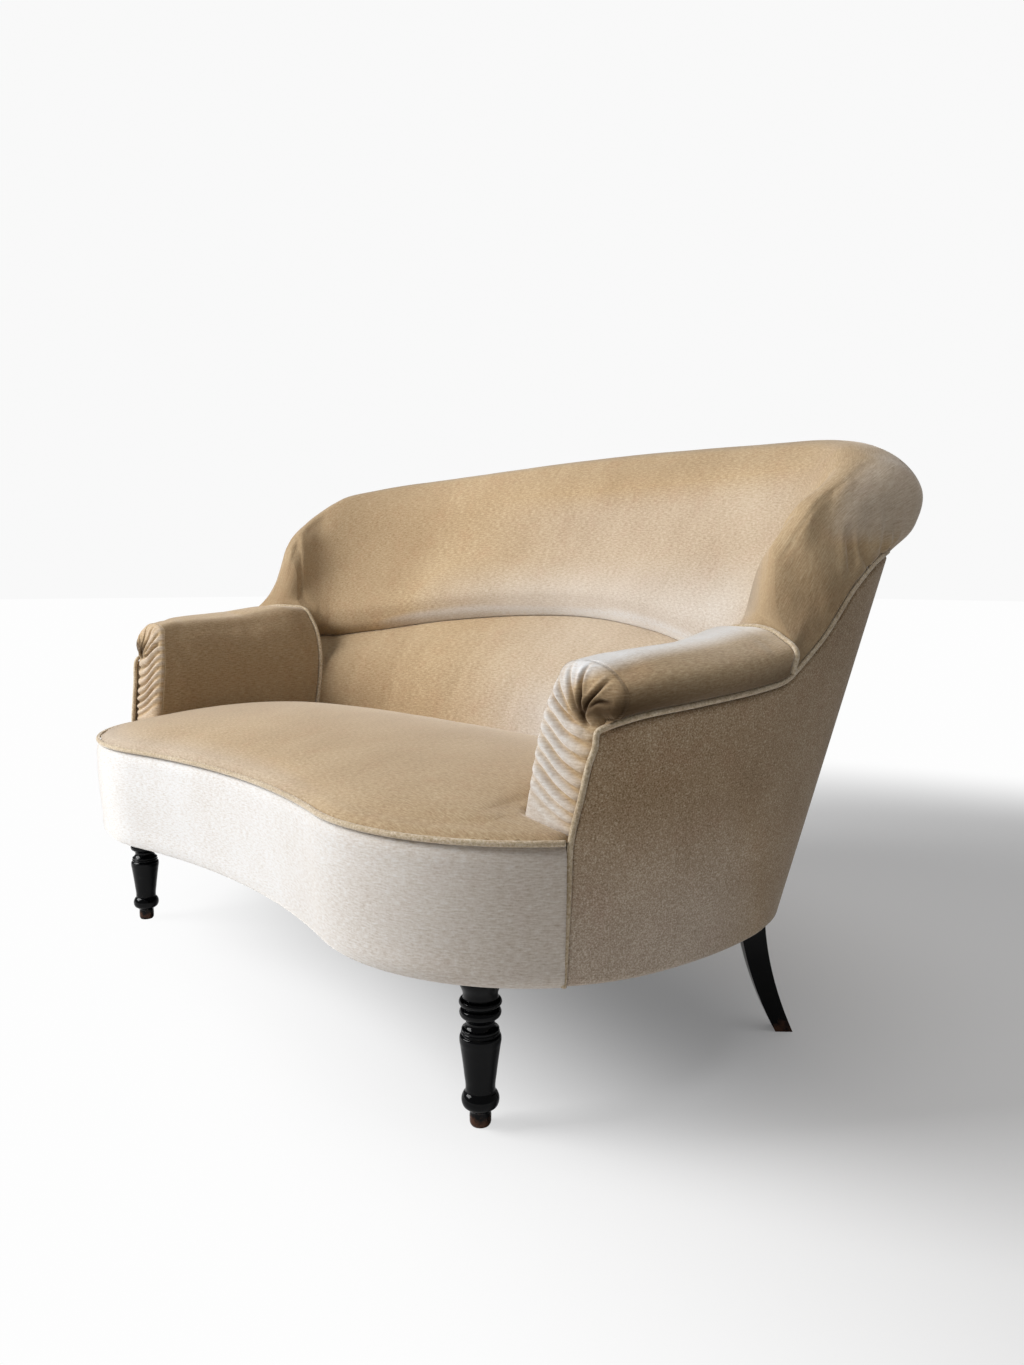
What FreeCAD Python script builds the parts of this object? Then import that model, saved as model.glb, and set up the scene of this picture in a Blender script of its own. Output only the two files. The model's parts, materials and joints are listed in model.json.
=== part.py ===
import FreeCAD, Part
import math
import os

# Two-seater tub sofa: a beech frame with webbing, springs and stuffing under a velvet cover.
# Millimetres, +Z up, the front faces -Y. The floor is Z = 0, under the middle of the outer box.

V = FreeCAD.Vector
os.makedirs("parts", exist_ok=True)

# Heights above the floor
BASE_Z = 187.0            # bottom edge of the cover
RAIL_BOTTOM = 193.0       # underside of the seat rails
RAIL_TOP = 285.0          # top of the seat rails
SPRING_TOP = 318.0        # springs are tied down to this height
SEAT_EDGE_Z = 350.0       # where the seat cover meets its front piping
SEAT_CROWN = 42.0         # rise of the sprung seat above its edge
KNEE_Z = 355.0            # height at which the outside panel is measured a second time

# Bottom edge of the cover, right half, as tangent arcs: radius and turn in radians.
# The first arc is the hollow in the middle of the front, the last one the back.
FRONT_MIDDLE_Y = -54.0
HOLLOW = (1224.0, -0.238)
FRONT_BULGE = (280.0, 1.630)
SIDE = (583.0, 0.337)
BACK_CORNER = (240.0, 1.065)

# Places along that edge, measured from the middle of the front
ARM_FRONT = 637.0         # the piped front corner of the outside panel
ARM_BACK = 873.0          # the welt between arm and back reaches the outside here
STILE = 1060.0            # the back leg and its stile
WELT_END = 1010.0         # the welt of the outside panel ends under the gathered corner
BACK_SEAM = 1130.0        # seam between the outside arm and the outside back

# Clearances and thin materials
SEAT_GAP = 0.3            # between pieces that touch
BORDER_LEAN = 10.0        # the front border leans out by this from its bottom to its top
PANEL = 10.0              # velvet on wadding, as laid over the frame
WELT_R = 3.6              # piping cord in its cover
WELT_ROOM = 8.8           # height left between a panel top and the pad over it
FRAME_ZONE = 60.0         # from the outside of the panel to the back of the pads
BOARD = 22.0              # thickness of the shaped boards

# Middle of the outer box in Y, taken off every point, so that the frame sits under the sofa
BOX_MIDDLE_Y = 329.7


def closing_radius(x, heading):
    """Radius of the last arc, which must end on the middle line, heading straight across."""
    return x / math.sin(heading)


def edge_arcs():
    """The arcs of the right half: start point, start heading, radius, turn, length."""
    arcs = []
    x, y, heading = 0.0, FRONT_MIDDLE_Y, 0.0
    for radius, turn in (HOLLOW, FRONT_BULGE, SIDE, BACK_CORNER, (None, None)):
        if radius is None:
            radius = closing_radius(x, heading)
            turn = math.pi - heading
        arcs.append((x, y, heading, radius, turn, abs(radius * turn)))
        side = math.copysign(1.0, turn)
        centre_x = x - side * radius * math.sin(heading)
        centre_y = y + side * radius * math.cos(heading)
        heading += turn
        x = centre_x + side * radius * math.sin(heading)
        y = centre_y - side * radius * math.cos(heading)
    return arcs


ARCS = edge_arcs()
HALF = sum(arc[5] for arc in ARCS)


def edge_point(s, out=0.0):
    """Point of the bottom edge at distance s, moved out by a distance, with its heading."""
    left = s < 0.0
    rest = abs(s)
    for x, y, heading, radius, turn, length in ARCS:
        if rest <= length + 1e-6 or length == ARCS[-1][5]:
            break
        rest -= length
    side = math.copysign(1.0, turn)
    angle = heading + side * rest / radius
    px = x + side * radius * (math.sin(angle) - math.sin(heading)) + out * math.sin(angle)
    py = y - side * radius * (math.cos(angle) - math.cos(heading)) - out * math.cos(angle)
    return (-px if left else px), py, angle


def joints_between(s0, s1):
    """The distances s0, s1 and the arc joints between them, in order."""
    marks = [0.0]
    for arc in ARCS:
        marks.append(marks[-1] + arc[5])
    both = sorted(set([round(m, 6) for m in marks] + [round(-m, 6) for m in marks]))
    inner = [m for m in both if s0 + 1.0 < m < s1 - 1.0]
    return [s0] + inner + [s1]


def at(x, y, z):
    """A point in the part's frame."""
    return V(x, y - BOX_MIDDLE_Y, z)


def edge_curve(s0, s1, out, z):
    """The bottom edge between two distances, moved out, as true arcs at a height."""
    edges = []
    stops = joints_between(s0, s1)
    for a, b in zip(stops, stops[1:]):
        points = []
        for s in (a, 0.5 * (a + b), b):
            x, y, _ = edge_point(s, out)
            points.append(at(x, y, z))
        edges.append(Part.Arc(*points).toShape())
    return edges


def strip(s0, s1, outer, inner, z0, z1):
    """A curved rail that follows the bottom edge between two offsets and two heights."""
    outside = edge_curve(s0, s1, outer, z0)
    inside = edge_curve(s0, s1, inner, z0)
    ends = []
    for s in (s0, s1):
        xo, yo, _ = edge_point(s, outer)
        xi, yi, _ = edge_point(s, inner)
        ends.append(Part.makeLine(at(xo, yo, z0), at(xi, yi, z0)))
    wire = Part.Wire(Part.__sortEdges__(outside + inside + ends))
    return Part.Face(wire).extrude(V(0, 0, z1 - z0))


def smooth(knots, s):
    """Smooth curve through a few (place, value) pairs, flat beyond both ends."""
    if s <= knots[0][0]:
        return knots[0][1]
    if s >= knots[-1][0]:
        return knots[-1][1]
    slopes = []
    for k in range(len(knots)):
        lo = knots[max(k - 1, 0)]
        hi = knots[min(k + 1, len(knots) - 1)]
        slopes.append((hi[1] - lo[1]) / (hi[0] - lo[0]))
    slopes[-1] = 0.0
    for k in range(len(knots) - 1):
        (s0, v0), (s1, v1) = knots[k], knots[k + 1]
        if s <= s1:
            break
    w = s1 - s0
    t = (s - s0) / w
    rise = v0 * (2 * t**3 - 3 * t**2 + 1) + v1 * (3 * t**2 - 2 * t**3)
    return rise + w * (slopes[k] * (t**3 - 2 * t**2 + t) + slopes[k + 1] * (t**3 - t**2))


# Outside panel: how far it stands out from its bottom edge at knee height, and its slopes above,
# each across (X) and to the back (Y); then its top edge, low along the arm and an S up the wing
KNEE_ACROSS = [(637, 10), (950, 22), (1020, 25), (1200, 7), (1500, 0)]
KNEE_BACK = [(637, 0), (750, 8), (950, 36), (1020, 45), (1200, 49), (1685, 42)]
SLOPE_ACROSS = [(637, 0.168), (880, 0.14), (950, 0.145), (1020, 0.148), (1100, 0.11), (1200, 0.035),
                (1500, 0)]
SLOPE_BACK = [(637, 0.151), (880, 0.165), (950, 0.21), (1020, 0.265), (1100, 0.285), (1200, 0.29),
              (1685, 0.25)]
PANEL_TOP = [(637, 469), (681, 483), (751, 493), (833, 503), (873, 512), (893, 530), (920, 559),
             (937, 586), (956, 619), (989, 654), (1035, 669), (1200, 692), (1685, 712)]

# Arm: inner face at seat height, and a low dome above it
ARM_FOOT_FRONT = (508.0, 57.0)
ARM_FOOT_BACK = (477.0, 363.0)
ARM_RIDGE_Z = [(637, 541), (700, 551), (800, 560), (880, 573), (960, 578)]
ARM_RIDGE_IN = [(637, 45), (700, 68), (800, 92), (880, 106), (960, 110)]
ARM_OVERHANG = [(637, 14), (760, 15), (880, 6), (960, 4)]
ARC_STEPS = 4             # straight steps along a rounded part of a section
LEAN_FADE = 220.0         # the arm's leaning sections stand upright from here on
PANEL_REACH = 160.0       # search width along the edge
ARM_RUN_ON = 75.0         # the arm is lofted past the junction by this and cut there

# Junction of arm and back: a tilted plane through the arm's foot, its ridge and the outside
RIDGE_JOINT = (597.0, 357.0, 573.0)

# Wing: its section planes fan about a point inside the corner, clear of the foot by a radius
FAN_PIVOT = (455.0, 357.0)
FOOT_RADIUS = 25.0
FAN_END = 1060.0
BACK_TURN = [(1130, 60), (1200, 70), (1685, 90)]

# Back: inner foot as seen from above, the seam over the lumbar swell, and the rolled top
BACK_FOOT = [(0, 455), (150, 448), (300, 425), (400, 402), (455, 383), (472, 375), (520, 350)]
SEAM_FROM_FOOT = [(1090, 73), (1200, 76), (1400, 107), (1685, 145)]
SEAM_Z = [(1077, 511), (1200, 524), (1400, 549), (1685, 564)]
ROLL_Z = [(873, 564), (901, 608), (920, 652), (940, 702), (970, 748), (1023, 793), (1077, 819), (1200, 839),
          (1685, 860)]
ROLL_IN = [(873, 112), (901, 100), (920, 80), (940, 63), (970, 58), (1023, 50), (1077, 47), (1300, 42),
           (1685, 33)]
ROLL_OVERHANG = [(873, 5), (957, 10), (1000, 30), (1023, 41), (1100, 42), (1685, 36)]
WING_FULLNESS = [(873, 0.8), (900, 0.45), (930, 0.2), (957, 0.2), (985, 0.45), (1010, 0.8), (1030, 1.0),
                 (1685, 1.0)]   # 1: the roll's outside bulges fully, 0: it is flat
LUMBAR_SWELL = 22.0


def panel_point(s, z):
    """Plan position of the panel's outside at a place along the edge and a height."""
    x, y, _ = edge_point(s)
    below = min(1.0, (z - BASE_Z) / (KNEE_Z - BASE_Z))
    above = max(0.0, z - KNEE_Z)
    x += smooth(KNEE_ACROSS, s) * below + smooth(SLOPE_ACROSS, s) * above
    y += smooth(KNEE_BACK, s) * below + smooth(SLOPE_BACK, s) * above
    return x, y


def fan_angle(s):
    """Direction from the fan's pivot to the panel's top edge."""
    x, y = panel_point(s, smooth(PANEL_TOP, s))
    return math.atan2(y - FAN_PIVOT[1], x - FAN_PIVOT[0])


def section_angle(s):
    """Direction of the section plane: straight across at the arm's front, then a fan about
    the pivot, then turning to straight back at the middle of the back."""
    if s > FAN_END:
        turn = [(FAN_END, math.degrees(fan_angle(FAN_END)))] + BACK_TURN
        return math.radians(smooth(turn, s))
    if s >= ARM_BACK:
        return fan_angle(s)
    part_way = max(0.0, (s - ARM_FRONT) / (ARM_BACK - ARM_FRONT))
    return fan_angle(ARM_BACK) * part_way**1.5


class Section:
    """A plane across the wall of the tub. Its q runs outwards from the panel's top edge."""

    def __init__(self, s, shift=0.0, bent=False):
        self.s = s
        self.bent = bent
        self.angle = section_angle(s)
        self.top = smooth(PANEL_TOP, s)
        self.c, self.d = math.cos(self.angle), math.sin(self.angle)
        x, y = panel_point(s, self.top)
        self.x, self.y = x - shift * self.d, y + shift * self.c
        fade = max(0.0, 1.0 - (s - ARM_FRONT) / LEAN_FADE)
        self.lean = fade * (smooth(SLOPE_BACK, s) * self.c - smooth(SLOPE_ACROSS, s) * self.d)

    def along(self, z):
        """Near the arm's front the plane leans back; a bent one is upright below the knee."""
        low = max(z, KNEE_Z) if self.bent else z
        return self.lean * (low - self.top)

    def point(self, q, z):
        a = self.along(z)
        return at(self.x + q * self.c - a * self.d, self.y + q * self.d + a * self.c, z)

    def off(self, u, z):
        """How far the panel's outside at a place and height lies beyond this plane."""
        x, y = panel_point(u, z)
        return (self.x - x) * self.d + (y - self.y) * self.c - self.along(z)

    def panel(self, z):
        """The q of the panel's outside at a height, found by halving."""
        low, high = self.s - PANEL_REACH, min(self.s + PANEL_REACH, HALF)
        for _ in range(30):
            middle = 0.5 * (low + high)
            if self.off(middle, z) < 0.0:
                low = middle
            else:
                high = middle
        x, y = panel_point(high, z)
        return (x - self.x) * self.c + (y - self.y) * self.d

    def foot(self):
        """The q of the inner face at seat height."""
        if self.s > FAN_END:
            return self.back_foot()
        if self.s > ARM_BACK:
            return FOOT_RADIUS - math.hypot(self.x - FAN_PIVOT[0], self.y - FAN_PIVOT[1])
        (ax, ay), (bx, by) = ARM_FOOT_BACK, ARM_FOOT_FRONT
        a = self.along(SEAT_EDGE_Z)
        x, y = self.x - a * self.d, self.y + a * self.c
        t = ((x - ax) * self.d - (y - ay) * self.c) / ((bx - ax) * self.d - (by - ay) * self.c)
        return (ax + (bx - ax) * t - x) * self.c + (ay + (by - ay) * t - y) * self.d

    def back_foot(self):
        """The q at which this plane crosses the foot line of the back, found by halving."""
        near, far = -450.0, 0.0
        for _ in range(30):
            middle = 0.5 * (near + far)
            x, y = self.x + middle * self.c, self.y + middle * self.d
            if y < smooth(BACK_FOOT, x):
                near = middle
            else:
                far = middle
        return far

    def room(self):
        """Height kept over the panel's top for its welt, which ends at the back corner."""
        step = 4.0
        slope = (smooth(PANEL_TOP, self.s + step) - smooth(PANEL_TOP, self.s - step)) / (2 * step)
        part_way = min(1.0, max(0.0, (self.s - WELT_END) / 25.0))
        return WELT_ROOM * math.hypot(1.0, slope) * (1.0 - part_way) + SEAT_GAP * part_way


def closed(pieces, steps=ARC_STEPS):
    """A ring of points from lines (2 points) and arcs (3 points), in order."""
    ring = []
    for points in pieces:
        ring.append(points[0])
        if len(points) == 3:
            arc = Part.Arc(*points)
            first, last = arc.FirstParameter, arc.LastParameter
            for k in range(1, steps):
                ring.append(arc.value(first + (last - first) * k / steps))
    return ring


def arm_wire(sec, grow=0.0):
    """Arm pad: flat inner face, low dome, hooked over the arm rail."""
    p = sec.point
    foot = sec.foot() - grow
    ridge = -smooth(ARM_RIDGE_IN, sec.s)
    ridge_z = smooth(ARM_RIDGE_Z, sec.s) + grow
    overhang = smooth(ARM_OVERHANG, sec.s) + grow
    under = sec.top + sec.room()
    shoulder_z = ridge_z - 26.0
    lean = foot + (ridge - foot) * 0.42
    mid_z = under + (ridge_z - under) * 0.42
    hook = -FRAME_ZONE
    return closed([
        (p(foot, RAIL_TOP + SEAT_GAP), p(foot, SEAT_EDGE_Z)),
        (p(foot, SEAT_EDGE_Z), p(lean, shoulder_z)),
        (p(lean, shoulder_z), p(lean + (ridge - lean) * 0.27, ridge_z - 7.0), p(ridge, ridge_z)),
        (p(ridge, ridge_z), p(ridge + (overhang - ridge) * 0.68, mid_z + (ridge_z - mid_z) * 0.66),
         p(overhang, mid_z)),
        (p(overhang, mid_z), p(overhang - 0.2 * grow - 2.0, under + (mid_z - under) * 0.4),
         p(min(4.0, overhang - 2.0), under)),
        (p(min(4.0, overhang - 2.0), under), p(hook, under)),
        (p(hook, under), p(sec.panel(RAIL_TOP) - FRAME_ZONE, RAIL_TOP + SEAT_GAP)),
        (p(sec.panel(RAIL_TOP) - FRAME_ZONE, RAIL_TOP + SEAT_GAP), p(foot, RAIL_TOP + SEAT_GAP)),
    ])


def upper_wire(sec):
    """Upper back pad: from the lumbar seam over the rolled top, hooked over the crest rail."""
    p = sec.point
    seam = sec.foot() + smooth(SEAM_FROM_FOOT, sec.s)
    seam_z = smooth(SEAM_Z, sec.s)
    ridge = -smooth(ROLL_IN, sec.s)
    ridge_z = smooth(ROLL_Z, sec.s)
    overhang = smooth(ROLL_OVERHANG, sec.s)
    under = sec.top + sec.room()
    out_z = under + (ridge_z - under) * 0.60
    neck = ridge - 30.0
    neck_z = ridge_z - 26.0
    lip = min(3.0, overhang - 2.0)
    fullness = smooth(WING_FULLNESS, sec.s)

    def outside(share, q, z):
        """A point of the roll's outside, between its full bulge and the line from ridge to lip."""
        line_q = ridge + (lip - ridge) * share
        line_z = ridge_z + (under - ridge_z) * share
        return p(line_q + (q - line_q) * fullness, line_z + (z - line_z) * fullness)

    widest = outside(0.62, overhang, out_z)
    return closed([
        (p(seam, seam_z), p(0.5 * (seam + neck) - 5.0, 0.5 * (seam_z + neck_z) + 2.0), p(neck, neck_z)),
        (p(neck, neck_z), p(ridge - 14.0, ridge_z - 5.5), p(ridge, ridge_z)),
        (p(ridge, ridge_z),
         outside(0.35, ridge + (overhang - ridge) * 0.70, out_z + (ridge_z - out_z) * 0.68), widest),
        (widest, outside(0.85, lip + (overhang - lip) * 0.76, under + (out_z - under) * 0.40),
         p(lip, under)),
        (p(lip, under), p(-FRAME_ZONE, under)),
        (p(-FRAME_ZONE, under), p(sec.panel(seam_z) - FRAME_ZONE, seam_z)),
        (p(sec.panel(seam_z) - FRAME_ZONE, seam_z), p(seam, seam_z)),
    ])


def lumbar_wire(sec):
    """Lumbar pad: the swollen band between the seat and the arched seam."""
    p = sec.point
    foot = sec.foot()
    seam = foot + smooth(SEAM_FROM_FOOT, sec.s)
    seam_z = smooth(SEAM_Z, sec.s) - 1.0
    low = RAIL_TOP + SEAT_GAP
    run, rise = seam - foot, seam_z - SEAT_EDGE_Z
    length = math.hypot(run, rise)
    mid = (0.5 * (foot + seam) - LUMBAR_SWELL * rise / length,
           0.5 * (SEAT_EDGE_Z + seam_z) + LUMBAR_SWELL * run / length)
    return closed([
        (p(foot, low), p(foot, SEAT_EDGE_Z)),
        (p(foot, SEAT_EDGE_Z), p(*mid), p(seam, seam_z)),
        (p(seam, seam_z), p(sec.panel(seam_z) - FRAME_ZONE, seam_z)),
        (p(sec.panel(seam_z) - FRAME_ZONE, seam_z), p(sec.panel(low) - FRAME_ZONE, low)),
        (p(sec.panel(low) - FRAME_ZONE, low), p(foot, low)),
    ])


def wall_wire(sec, near, far, heights):
    """A member whose outside follows the panel, between two depths, through some heights."""
    ring = [sec.point(sec.panel(z) - near, z) for z in heights]
    ring += [sec.point(sec.panel(z) - far, z) for z in reversed(heights)]
    return ring


def run(s0, s1, step):
    """Evenly spaced stations between two places on the edge."""
    count = max(1, int(round(abs(s1 - s0) / step)))
    return [s0 + (s1 - s0) * k / count for k in range(count + 1)]


def mirrored(shape):
    return shape.mirror(V(0, 0, 0), V(1, 0, 0))


def loft(wires, ruled=True):
    return Part.makeLoft(wires, True, ruled)


def skin(rings, middle=None):
    """A closed solid through rings with the same number of points, in flat triangles. Past
    the middle ring the triangles lie the other way, so that left and right are alike."""
    faces = [Part.Face(Part.makePolygon(ring + [ring[0]])) for ring in (rings[0], rings[-1])]
    count = len(rings[0])
    for number, (here, ahead) in enumerate(zip(rings, rings[1:])):
        past = middle is not None and number >= middle
        for k in range(count):
            a, b = here[k], here[(k + 1) % count]
            c, d = ahead[(k + 1) % count], ahead[k]
            pair = ((a, b, d), (b, c, d)) if past else ((a, b, c), (a, c, d))
            for corners in pair:
                faces.append(Part.Face(Part.makePolygon(list(corners) + [corners[0]])))
    shell = Part.makeShell(faces)
    shell.sewShape()
    solid = Part.makeSolid(shell)
    if solid.Volume < 0:
        solid.reverse()
    return solid


def round_skin(right):
    """Solid through the right side's rings to the middle of the back, and on along the left."""
    left = [[V(-p.x, p.y, p.z) for p in ring] for ring in reversed(right[:-1])]
    return skin(right + left, len(right) - 1)


def both_sides(wire_of, stations):
    return round_skin([wire_of(Section(s)) for s in stations])


def piping(points, radius, sides=6):
    """A round cord through points, drawn with few sides."""
    wires = []
    normal = None
    for k, here in enumerate(points):
        ahead = points[min(k + 1, len(points) - 1)]
        behind = points[max(k - 1, 0)]
        along = (ahead - behind).normalize()
        if normal is None:
            normal = along.cross(V(0, 1, 0))
            if normal.Length < 0.2:
                normal = along.cross(V(1, 0, 0))
        normal = (normal - along * normal.dot(along)).normalize()
        other = along.cross(normal)
        ring = []
        for i in range(sides):
            angle = 2 * math.pi * i / sides
            ring.append(here + normal * (radius * math.cos(angle)) + other * (radius * math.sin(angle)))
        wires.append(Part.makePolygon(ring + [ring[0]]))
    return loft(wires)


NODES = {}


def keep(name, shape):
    """Keep a solid or a group of solids under its node name."""
    NODES[name] = shape


def keep_pair(name, shape):
    keep(name + "_right", shape)
    keep(name + "_left", mirrored(shape))


# Junction plane between arm and back
cz = smooth(PANEL_TOP, ARM_BACK)
cx, cy = panel_point(ARM_BACK, cz)
foot_point = at(ARM_FOOT_BACK[0], ARM_FOOT_BACK[1], SEAT_EDGE_Z)
ridge_point = at(*RIDGE_JOINT)
outer_point = at(cx, cy, cz)
JUNCTION_NORMAL = (ridge_point - foot_point).cross(outer_point - foot_point).normalize()
if JUNCTION_NORMAL.y < 0:
    JUNCTION_NORMAL = JUNCTION_NORMAL * -1


def beyond_junction(shift):
    """Everything on the back's side of the junction plane moved by a shift, as a big block."""
    size = 3000.0
    block = Part.makeBox(size, size, size, V(-size / 2, -size / 2, 0))
    turn = FreeCAD.Rotation(V(0, 0, 1), JUNCTION_NORMAL)
    block.Placement = FreeCAD.Placement(ridge_point + JUNCTION_NORMAL * shift, turn)
    return block


# Stations
ARM_PAD_START = 654.0
arm_stations = run(ARM_PAD_START, ARM_BACK, 38.0)
wing_stations = [ARM_BACK, 884, 895, 909, 923, 940, 959, 975, 991, 1010, 1030, 1045, 1060, 1080, 1100]
back_stations = run(BACK_SEAM, HALF, 62.0)
tub_stations = wing_stations + back_stations
frame_stations = wing_stations[1:-2]
HALF_WELT = WELT_R + SEAT_GAP


def arm_loft(grow):
    wires = [arm_wire(Section(s), grow) for s in arm_stations]
    for shift in (0.5 * ARM_RUN_ON, ARM_RUN_ON):
        wires.append(arm_wire(Section(ARM_BACK, shift), grow))
    return skin(wires)


# Frame: seat rails
RAIL_OUT = -(PANEL + SEAT_GAP)
FRONT_RAIL_IN = -85.0
SIDE_RAIL_IN = -60.0
RAIL_JOINT = 604.0
front_rail = strip(-RAIL_JOINT, RAIL_JOINT, RAIL_OUT, FRONT_RAIL_IN, RAIL_BOTTOM, RAIL_TOP)

# Stile box: the slot that the back leg and its stile take out of the rails they join
STILE_W = 34.0
stile_section = Section(STILE)


def stile_ring(q, z, wide, deep):
    """Square outline of the back leg, its outer face at q."""
    s = stile_section
    c, d = math.cos(s.angle), math.sin(s.angle)
    ring = []
    for a, b in ((0, -0.5), (0, 0.5), (-1, 0.5), (-1, -0.5)):
        corner = s.point(q + a * deep, z)
        ring.append(corner + V(-d * b * wide, c * b * wide, 0))
    return Part.makePolygon(ring + [ring[0]])


def stile_slot():
    q0, q1, z0, z1 = -240.0, 60.0, RAIL_BOTTOM - 5, 900.0
    wires = [stile_ring(q1, z, STILE_W + 2 * SEAT_GAP, q1 - q0) for z in (z0, z1)]
    return loft(wires)


slot = stile_slot()
side_rail = strip(RAIL_JOINT + SEAT_GAP, STILE, RAIL_OUT, SIDE_RAIL_IN, RAIL_BOTTOM, RAIL_TOP).cut(slot)
half_back = strip(STILE, HALF, RAIL_OUT, SIDE_RAIL_IN, RAIL_BOTTOM, RAIL_TOP).cut(slot)
back_rail = half_back.fuse(mirrored(half_back)).removeSplitter()
keep_pair("side_rail", side_rail)
keep("back_rail", back_rail)

# Back leg: a sabre foot below, a straight stile above, one piece of beech
SABRE_FOOT = 24.0
SABRE_OUT = 45.0
STILE_DEEP = 36.0
STILE_FACE = PANEL + 2.0
low_face = stile_section.panel(BASE_Z) - STILE_FACE
sabre = []
for part_way in (0.0, 0.25, 0.5, 0.75, 1.0):
    width = SABRE_FOOT + (STILE_W - SABRE_FOOT) * part_way**0.8
    swing = SABRE_OUT * (1.0 - part_way)**1.9
    sabre.append(stile_ring(low_face + swing, BASE_Z * part_way, width, width + 2.0 * part_way))
stile = []
stile_top = stile_section.top - 8.0
for z in (BASE_Z, KNEE_Z, stile_top):
    stile.append(stile_ring(stile_section.panel(z) - STILE_FACE, z, STILE_W, STILE_DEEP))
back_leg = loft(sabre, False).fuse(loft(stile)).removeSplitter()
keep_pair("back_leg", back_leg)

# Front leg: turned beech with a tenon into the front rail
LEG_X, LEG_Y = 485.0, 0.0
TENON_R, TENON_UP = 11.0, 62.0
LEG_SIDES = 28
LEG_PROFILE = [(11.0, 0.0), (13.5, 18.0), (22.0, 26.0), (22.0, 33.0), (17.0, 42.0),
               (25.0, 108.0), (25.0, 115.0), (16.5, 124.0), (24.5, 135.0), (24.5, 143.0),
               (18.0, 151.0), (25.5, 174.0), (25.5, RAIL_BOTTOM - SEAT_GAP),
               (TENON_R, RAIL_BOTTOM - SEAT_GAP), (TENON_R, RAIL_BOTTOM + TENON_UP)]


def turned(profile, x, y):
    """Solid of rings about an upright line, one ring for each radius and height."""
    rings = []
    for radius, z in profile:
        ring = []
        for k in range(LEG_SIDES):
            angle = 2 * math.pi * k / LEG_SIDES
            ring.append(at(x + radius * math.cos(angle), y + radius * math.sin(angle), z))
        rings.append(ring)
    return skin(rings)


front_leg = turned(LEG_PROFILE, LEG_X, LEG_Y)
keep_pair("front_leg", front_leg)
socket_depth = TENON_UP + 1.0
for x in (LEG_X, -LEG_X):
    front_rail = front_rail.cut(Part.makeCylinder(TENON_R + 0.3, socket_depth, at(x, LEG_Y, RAIL_BOTTOM)))
keep("front_rail", front_rail)

# Middle cross rail from the front rail to the back rail
CROSS_W, CROSS_H = 40.0, 45.0
front_y = edge_point(0.0, FRONT_RAIL_IN)[1] + 0.7
back_y = edge_point(HALF, SIDE_RAIL_IN)[1] - 0.4
keep("seat_cross_rail", Part.makeBox(CROSS_W, back_y - front_y, CROSS_H,
                                     at(-CROSS_W / 2, front_y, RAIL_BOTTOM)))

# Arm post, arm rail and wing board
BAR_OUT = PANEL + 1.0
RAIL_DEEP = 55.0
ARM_RAIL_H = 34.0
POST_END = 695.0
CREST_H = 70.0


def arm_rail_top(sec):
    return min(sec.top + sec.room(), smooth(PANEL_TOP, ARM_BACK) + WELT_ROOM) - SEAT_GAP


def arm_rail_wire(sec):
    top = arm_rail_top(sec)
    return wall_wire(sec, BAR_OUT, RAIL_DEEP, (top - ARM_RAIL_H, top))


def wing_board_wire(sec):
    top = sec.top + sec.room() - SEAT_GAP
    return wall_wire(sec, BAR_OUT + 2.0, BAR_OUT + BOARD, (arm_rail_top(sec) + SEAT_GAP, top))


def two_storeys(near, far, low_z, top_of, stations):
    """A wall of two lofts that meet at knee height, upright below it."""
    low = []
    high = []
    for s in stations:
        sec = Section(s, bent=True)
        top = top_of(sec)
        low.append(wall_wire(sec, near, far, (low_z, KNEE_Z)))
        high.append(wall_wire(sec, near, far, (KNEE_Z, 0.5 * (KNEE_Z + top), top)))
    return low, high


def post_top(sec):
    return arm_rail_top(sec) - ARM_RAIL_H - SEAT_GAP


def panel_top(sec):
    return sec.top


def crest_wire(sec):
    top = sec.top + sec.room() - SEAT_GAP
    return wall_wire(sec, BAR_OUT, RAIL_DEEP, (top - CREST_H, top))


low, high = two_storeys(BAR_OUT + 0.6, RAIL_DEEP, RAIL_TOP + SEAT_GAP, post_top, (ARM_PAD_START, POST_END))
arm_post = skin(low).fuse(skin(high))
arm_rail = skin([arm_rail_wire(Section(s)) for s in arm_stations + frame_stations]).cut(slot)
wing_board = skin([wing_board_wire(Section(s)) for s in frame_stations]).cut(slot)
keep_pair("arm_post", arm_post)
keep_pair("arm_rail", arm_rail)
crest = both_sides(crest_wire, wing_stations[-3:] + back_stations).cut(slot).cut(mirrored(slot))
keep("crest_rail", crest)

# Outside cover
panel_stations = [ARM_FRONT + 5.0] + arm_stations[1:] + wing_stations[1:] + [BACK_SEAM]
low, high = two_storeys(0.0, PANEL, BASE_Z, panel_top, panel_stations)
outside_arm = skin(low).fuse(skin(high))
keep_pair("outside_arm", outside_arm)
low, high = two_storeys(0.0, PANEL, BASE_Z, panel_top, [BACK_SEAM + SEAT_GAP] + back_stations[1:])
keep("outside_back", round_skin(low).fuse(round_skin(high)))

# Arm pads and back pads, parted at the junction plane
arm_pad = arm_loft(0.0).cut(beyond_junction(-HALF_WELT))
arm_pad = arm_pad.cut(wing_board).cut(outside_arm)
keep_pair("arm_pad", arm_pad)
near_block = Part.makeBox(500.0, 530.0, 440.0, at(FAN_PIVOT[0] + 3.0, -100.0, 200.0))
arm_region = near_block.cut(beyond_junction(HALF_WELT))
upper = both_sides(upper_wire, tub_stations).cut(arm_region).cut(mirrored(arm_region))
lumbar = both_sides(lumbar_wire, tub_stations).cut(arm_region).cut(mirrored(arm_region))
keep("back_upper_pad", upper)
wing_board = wing_board.cut(upper)
keep_pair("wing_board", wing_board)
keep("back_lumbar_pad", lumbar)

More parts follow.
